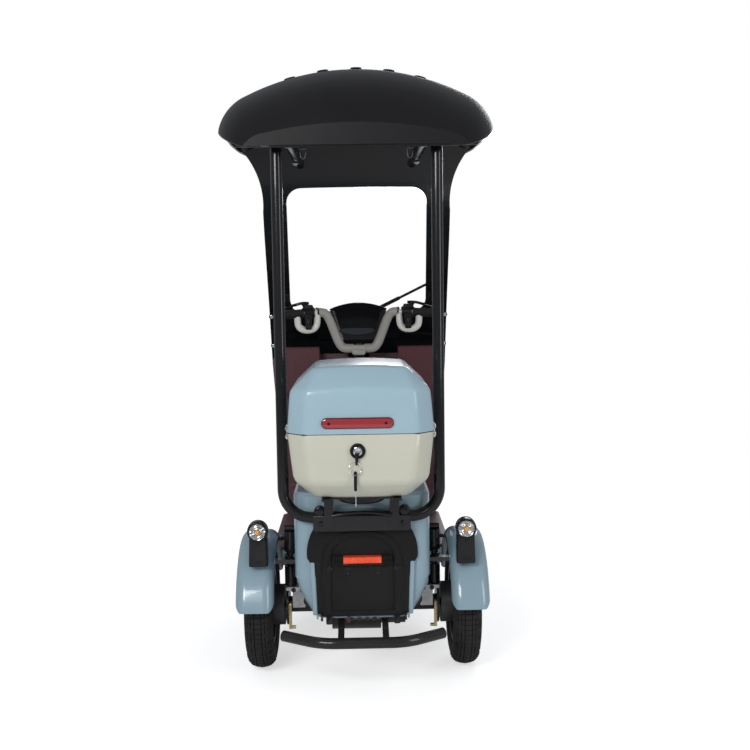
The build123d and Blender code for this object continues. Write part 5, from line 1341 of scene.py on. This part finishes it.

# %% [markdown]
# The seat pad is vinyl over foam. A voxel skin is blown up a little by the Cloth modifier, and the swelling is
# capped, so that the pad crowns in the middle and pulls in at its corners. The piped seam and the sewn channels come
# after the remesh, which would erase them.

# %% Padded seat
PAD_LOW, PAD_HIGH = Vector((-163, -99, 602)), Vector((163, 313, 674))
pad = block("padded_seat", tuple(PAD_LOW), tuple(PAD_HIGH))
edit(pad)
pick("edges", lambda p, d, a: abs(d.z) > 0.9)
bevel(52, 8)
pick("edges", lambda p, d, a: a > 60 and p.z > 0.66)
bevel(18, 5)
pick("edges", lambda p, d, a: a > 60 and p.z < 0.61)
bevel(7, 3)
hold(pad)
modify(pad, "REMESH", mode="VOXEL", voxel_size=0.006)
before = [v.co.copy() for v in pad.data.vertices]
cloth = pad.modifiers.new("swell", "CLOTH")
cloth.settings.use_pressure = True
cloth.settings.uniform_pressure_force = 4.0
cloth.settings.effector_weights.gravity = 0
cloth.settings.quality = 4
for frame_number in range(1, 21):
    scene.frame_set(frame_number)
held = pad.evaluated_get(bpy.context.evaluated_depsgraph_get())
after = [v.co.copy() for v in held.data.vertices]
pad.modifiers.remove(cloth)
scene.frame_set(1)
SWELL_MOST = 0.006
for vertex, old, new in zip(pad.data.vertices, before, after):
    step = new - old
    vertex.co = old + (step * (SWELL_MOST / step.length) if step.length > SWELL_MOST else step)
    vertex.co.z = max(vertex.co.z, at(0, 0, 598).z)
modify(pad, "SUBSURF", levels=1, render_levels=1)
low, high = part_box("seat_pad")
edit(pad)
for line in (0.30, 0.52, 0.74):
    groove = low[1] + (high[1] - low[1]) * line
    pick("verts", lambda p, n, a: n.z > 0.7 and abs(p.y - groove) < 0.004)
    bpy.ops.transform.translate(value=(0, 0, -0.0035))
hold(pad)
dress(pad, seat_vinyl, "seat", 60)
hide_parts("seat_pad")
piping_half = [(0, -99), (96, -99), (142, -92), (162, -52), (163, 100), (162, 262), (142, 305), (96, 313)]
piping_line = [(x, y, 612) for x, y in piping_half] + [(-x, y, 612) for x, y in reversed(piping_half)][:-1]
piping = wire("seat_piping", [(x * 1.012, (y - 107) * 1.012 + 107, z) for x, y, z in piping_line], 3.2, closed=True,
              rough=3)
dress(piping, seat_vinyl, "seat", 60)
print("seat faces", len(pad.data.polygons))

# %% [markdown]
# The leg shield and the floor are mouldings with raised ribs that stiffen them. As on the roof, a flat
# strip is dropped on to the CAD node with Shrinkwrap, lifted, and given rounded sides.

# %% Shield and floor ribs
def laid_strip(name, middle, size, node, axis, steps, rise):
    """A strip of size (across, along) mm, dropped on to a node along -Z ("up") or +Y ("back")."""
    hold(None)
    turn = (0, 0, 0) if axis == "up" else (pi / 2, 0, 0)
    bpy.ops.mesh.primitive_grid_add(x_subdivisions=steps[0], y_subdivisions=steps[1], size=1, location=at(*middle),
                                    rotation=turn)
    strip = bpy.context.object
    strip.name = name
    strip.scale = (size[0] / 1000, size[1] / 1000, 1)
    settle(strip)
    modify(strip, "SHRINKWRAP", target=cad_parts[node], wrap_method="PROJECT",
           use_project_z=axis == "up", use_project_y=axis == "back",
           use_negative_direction=axis == "up", use_positive_direction=axis == "back")
    edit(strip)
    bpy.ops.mesh.select_all(action="SELECT")
    bpy.ops.mesh.normals_make_consistent(inside=False)
    facing = OUT["up"] if axis == "up" else OUT["back"]
    pick("faces", lambda p, n, a: n.dot(Vector(facing)) < 0)
    bpy.ops.mesh.flip_normals()
    bpy.ops.mesh.select_all(action="SELECT")
    pull(tuple(v * rise for v in facing))
    pick("edges", lambda p, d, a: a > 55)
    bevel(min(1.2, rise * 0.4), 2)
    bpy.ops.mesh.select_all(action="SELECT")
    bpy.ops.mesh.normals_make_consistent(inside=False)
    hold(strip)
    return strip


shield_ribs = []
for z, half in ((372, 270), (398, 272), (640, 292), (664, 293), (688, 294)):
    for side in (-1, 1):
        shield_ribs.append(laid_strip("shield_rib", (side * (half + 62) / 2, 600, z), (half - 62, 7), "leg_shield",
                                      "back", (24, 1), 2.6))
for x in (170, 200, 230, 260):
    for side in (-1, 1):
        shield_ribs.append(laid_strip("shield_flute", (side * x, 600, 520), (7, 190), "leg_shield", "back", (1, 20),
                                      2.6))
dress(merge(shield_ribs, "shield_ribs"), burgundy)
floor_ribs = []
for x in (-248, -216, -184, -152, -120, 120, 152, 184, 216, 248):
    floor_ribs.append(laid_strip("floor_rib", (x, 545, 400), (12, 370), "floorboard", "up", (1, 8), 3))
for y in (330, 344, 748, 762):
    floor_ribs.append(laid_strip("floor_bar", (0, y, 400), (540, 6), "floorboard", "up", (20, 1), 3))
dress(merge(floor_ribs, "floor_ribs"), burgundy)
print("ribs", len(shield_ribs), len(floor_ribs))

# %% [markdown]
# A headlamp is a bright bowl behind a clear lens, in a black bezel. A round projector sits in the bowl.
# The lens face is inset in steps, so that it swells.

# %% Headlamp
HEAD_FACE, HEAD_MIDDLE = 1097, 715
bezel = ring("headlamp_bezel", (0, HEAD_FACE - 4, HEAD_MIDDLE), 70, 5, (0, 1, 0), 64, 12)
dress(bezel, gloss_black)
bowl = drum("headlamp_bowl", (0, HEAD_FACE + 0.5, HEAD_MIDDLE), 65, 2, (0, 1, 0), 40)
edit(bowl)
pick("faces", lambda p, n, a: n.y > 0.999)
inset(14)
inset(14, -0.6)
inset(12)
dress(bowl, lamp_silver, angle=1)
projector = drum("headlamp_projector", (0, HEAD_FACE + 3, HEAD_MIDDLE), 22, 6, (0, 1, 0), 40)
soften(projector, 4, 5, lambda p: p.y > at(0, HEAD_FACE + 4, 0).y)
pick("faces", lambda p, n, a: n.y > 0.999)
inset(5, -1.5)
dress(projector, display_glass)
glass = drum("headlamp_glass", (0, HEAD_FACE + 4, HEAD_MIDDLE), 68, 6, (0, 1, 0), 56)
edit(glass)
pick("faces", lambda p, n, a: n.y > 0.999)
inset(12, 4)
inset(16, 3)
inset(18, 1.6)
dress(glass, lamp_glass, angle=20)

# %% [markdown]
# The two front indicators repeat the rear ones at a smaller size: a black rim, a silver facet bowl, a bulb
# and a faceted lens.

# %% Front indicators
FRONT_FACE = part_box("front_indicators")[1][1] * 1000 - REAR_AXLE_Y * 1000
for side, word in ((-1, "left"), (1, "right")):
    x, z = side * 116, 735
    dress(ring("front_rim_" + word, (x, FRONT_FACE - 1, z), 22.5, 2.6, (0, 1, 0)), gloss_black)
    dish = drum("front_bowl_" + word, (x, FRONT_FACE + 0.4, z), 21, 1.6, (0, 1, 0), 12)
    edit(dish)
    pick("faces", lambda p, n, a: n.y > 0.999)
    inset(6)
    inset(6, -0.4)
    bpy.ops.mesh.poke(offset=0.0012)
    dress(dish, lamp_silver, angle=1)
    lens = drum("front_lens_" + word, (x, FRONT_FACE + 2.6, z), 21.5, 4, (0, 1, 0), 12)
    edit(lens)
    pick("faces", lambda p, n, a: n.y > 0.999)
    inset(6, 1.8)
    inset(6, 1.2)
    bpy.ops.mesh.poke()
    dress(lens, lamp_glass, angle=1)
    hold(None)
    bpy.ops.mesh.primitive_uv_sphere_add(segments=20, ring_count=12, radius=0.0065,
                                         location=at(x, FRONT_FACE + 2, z))
    bulb = bpy.context.object
    bulb.name = "front_bulb_" + word
    bulb.scale = (1, 0.5, 1)
    settle(bulb)
    edit(bulb)
    pick("faces", lambda p, n, a: n.y > 0.9)
    inset(1.0, 0.4)
    dress(bulb, amber_bulb)
print("front lamps at", round(FRONT_FACE, 1))
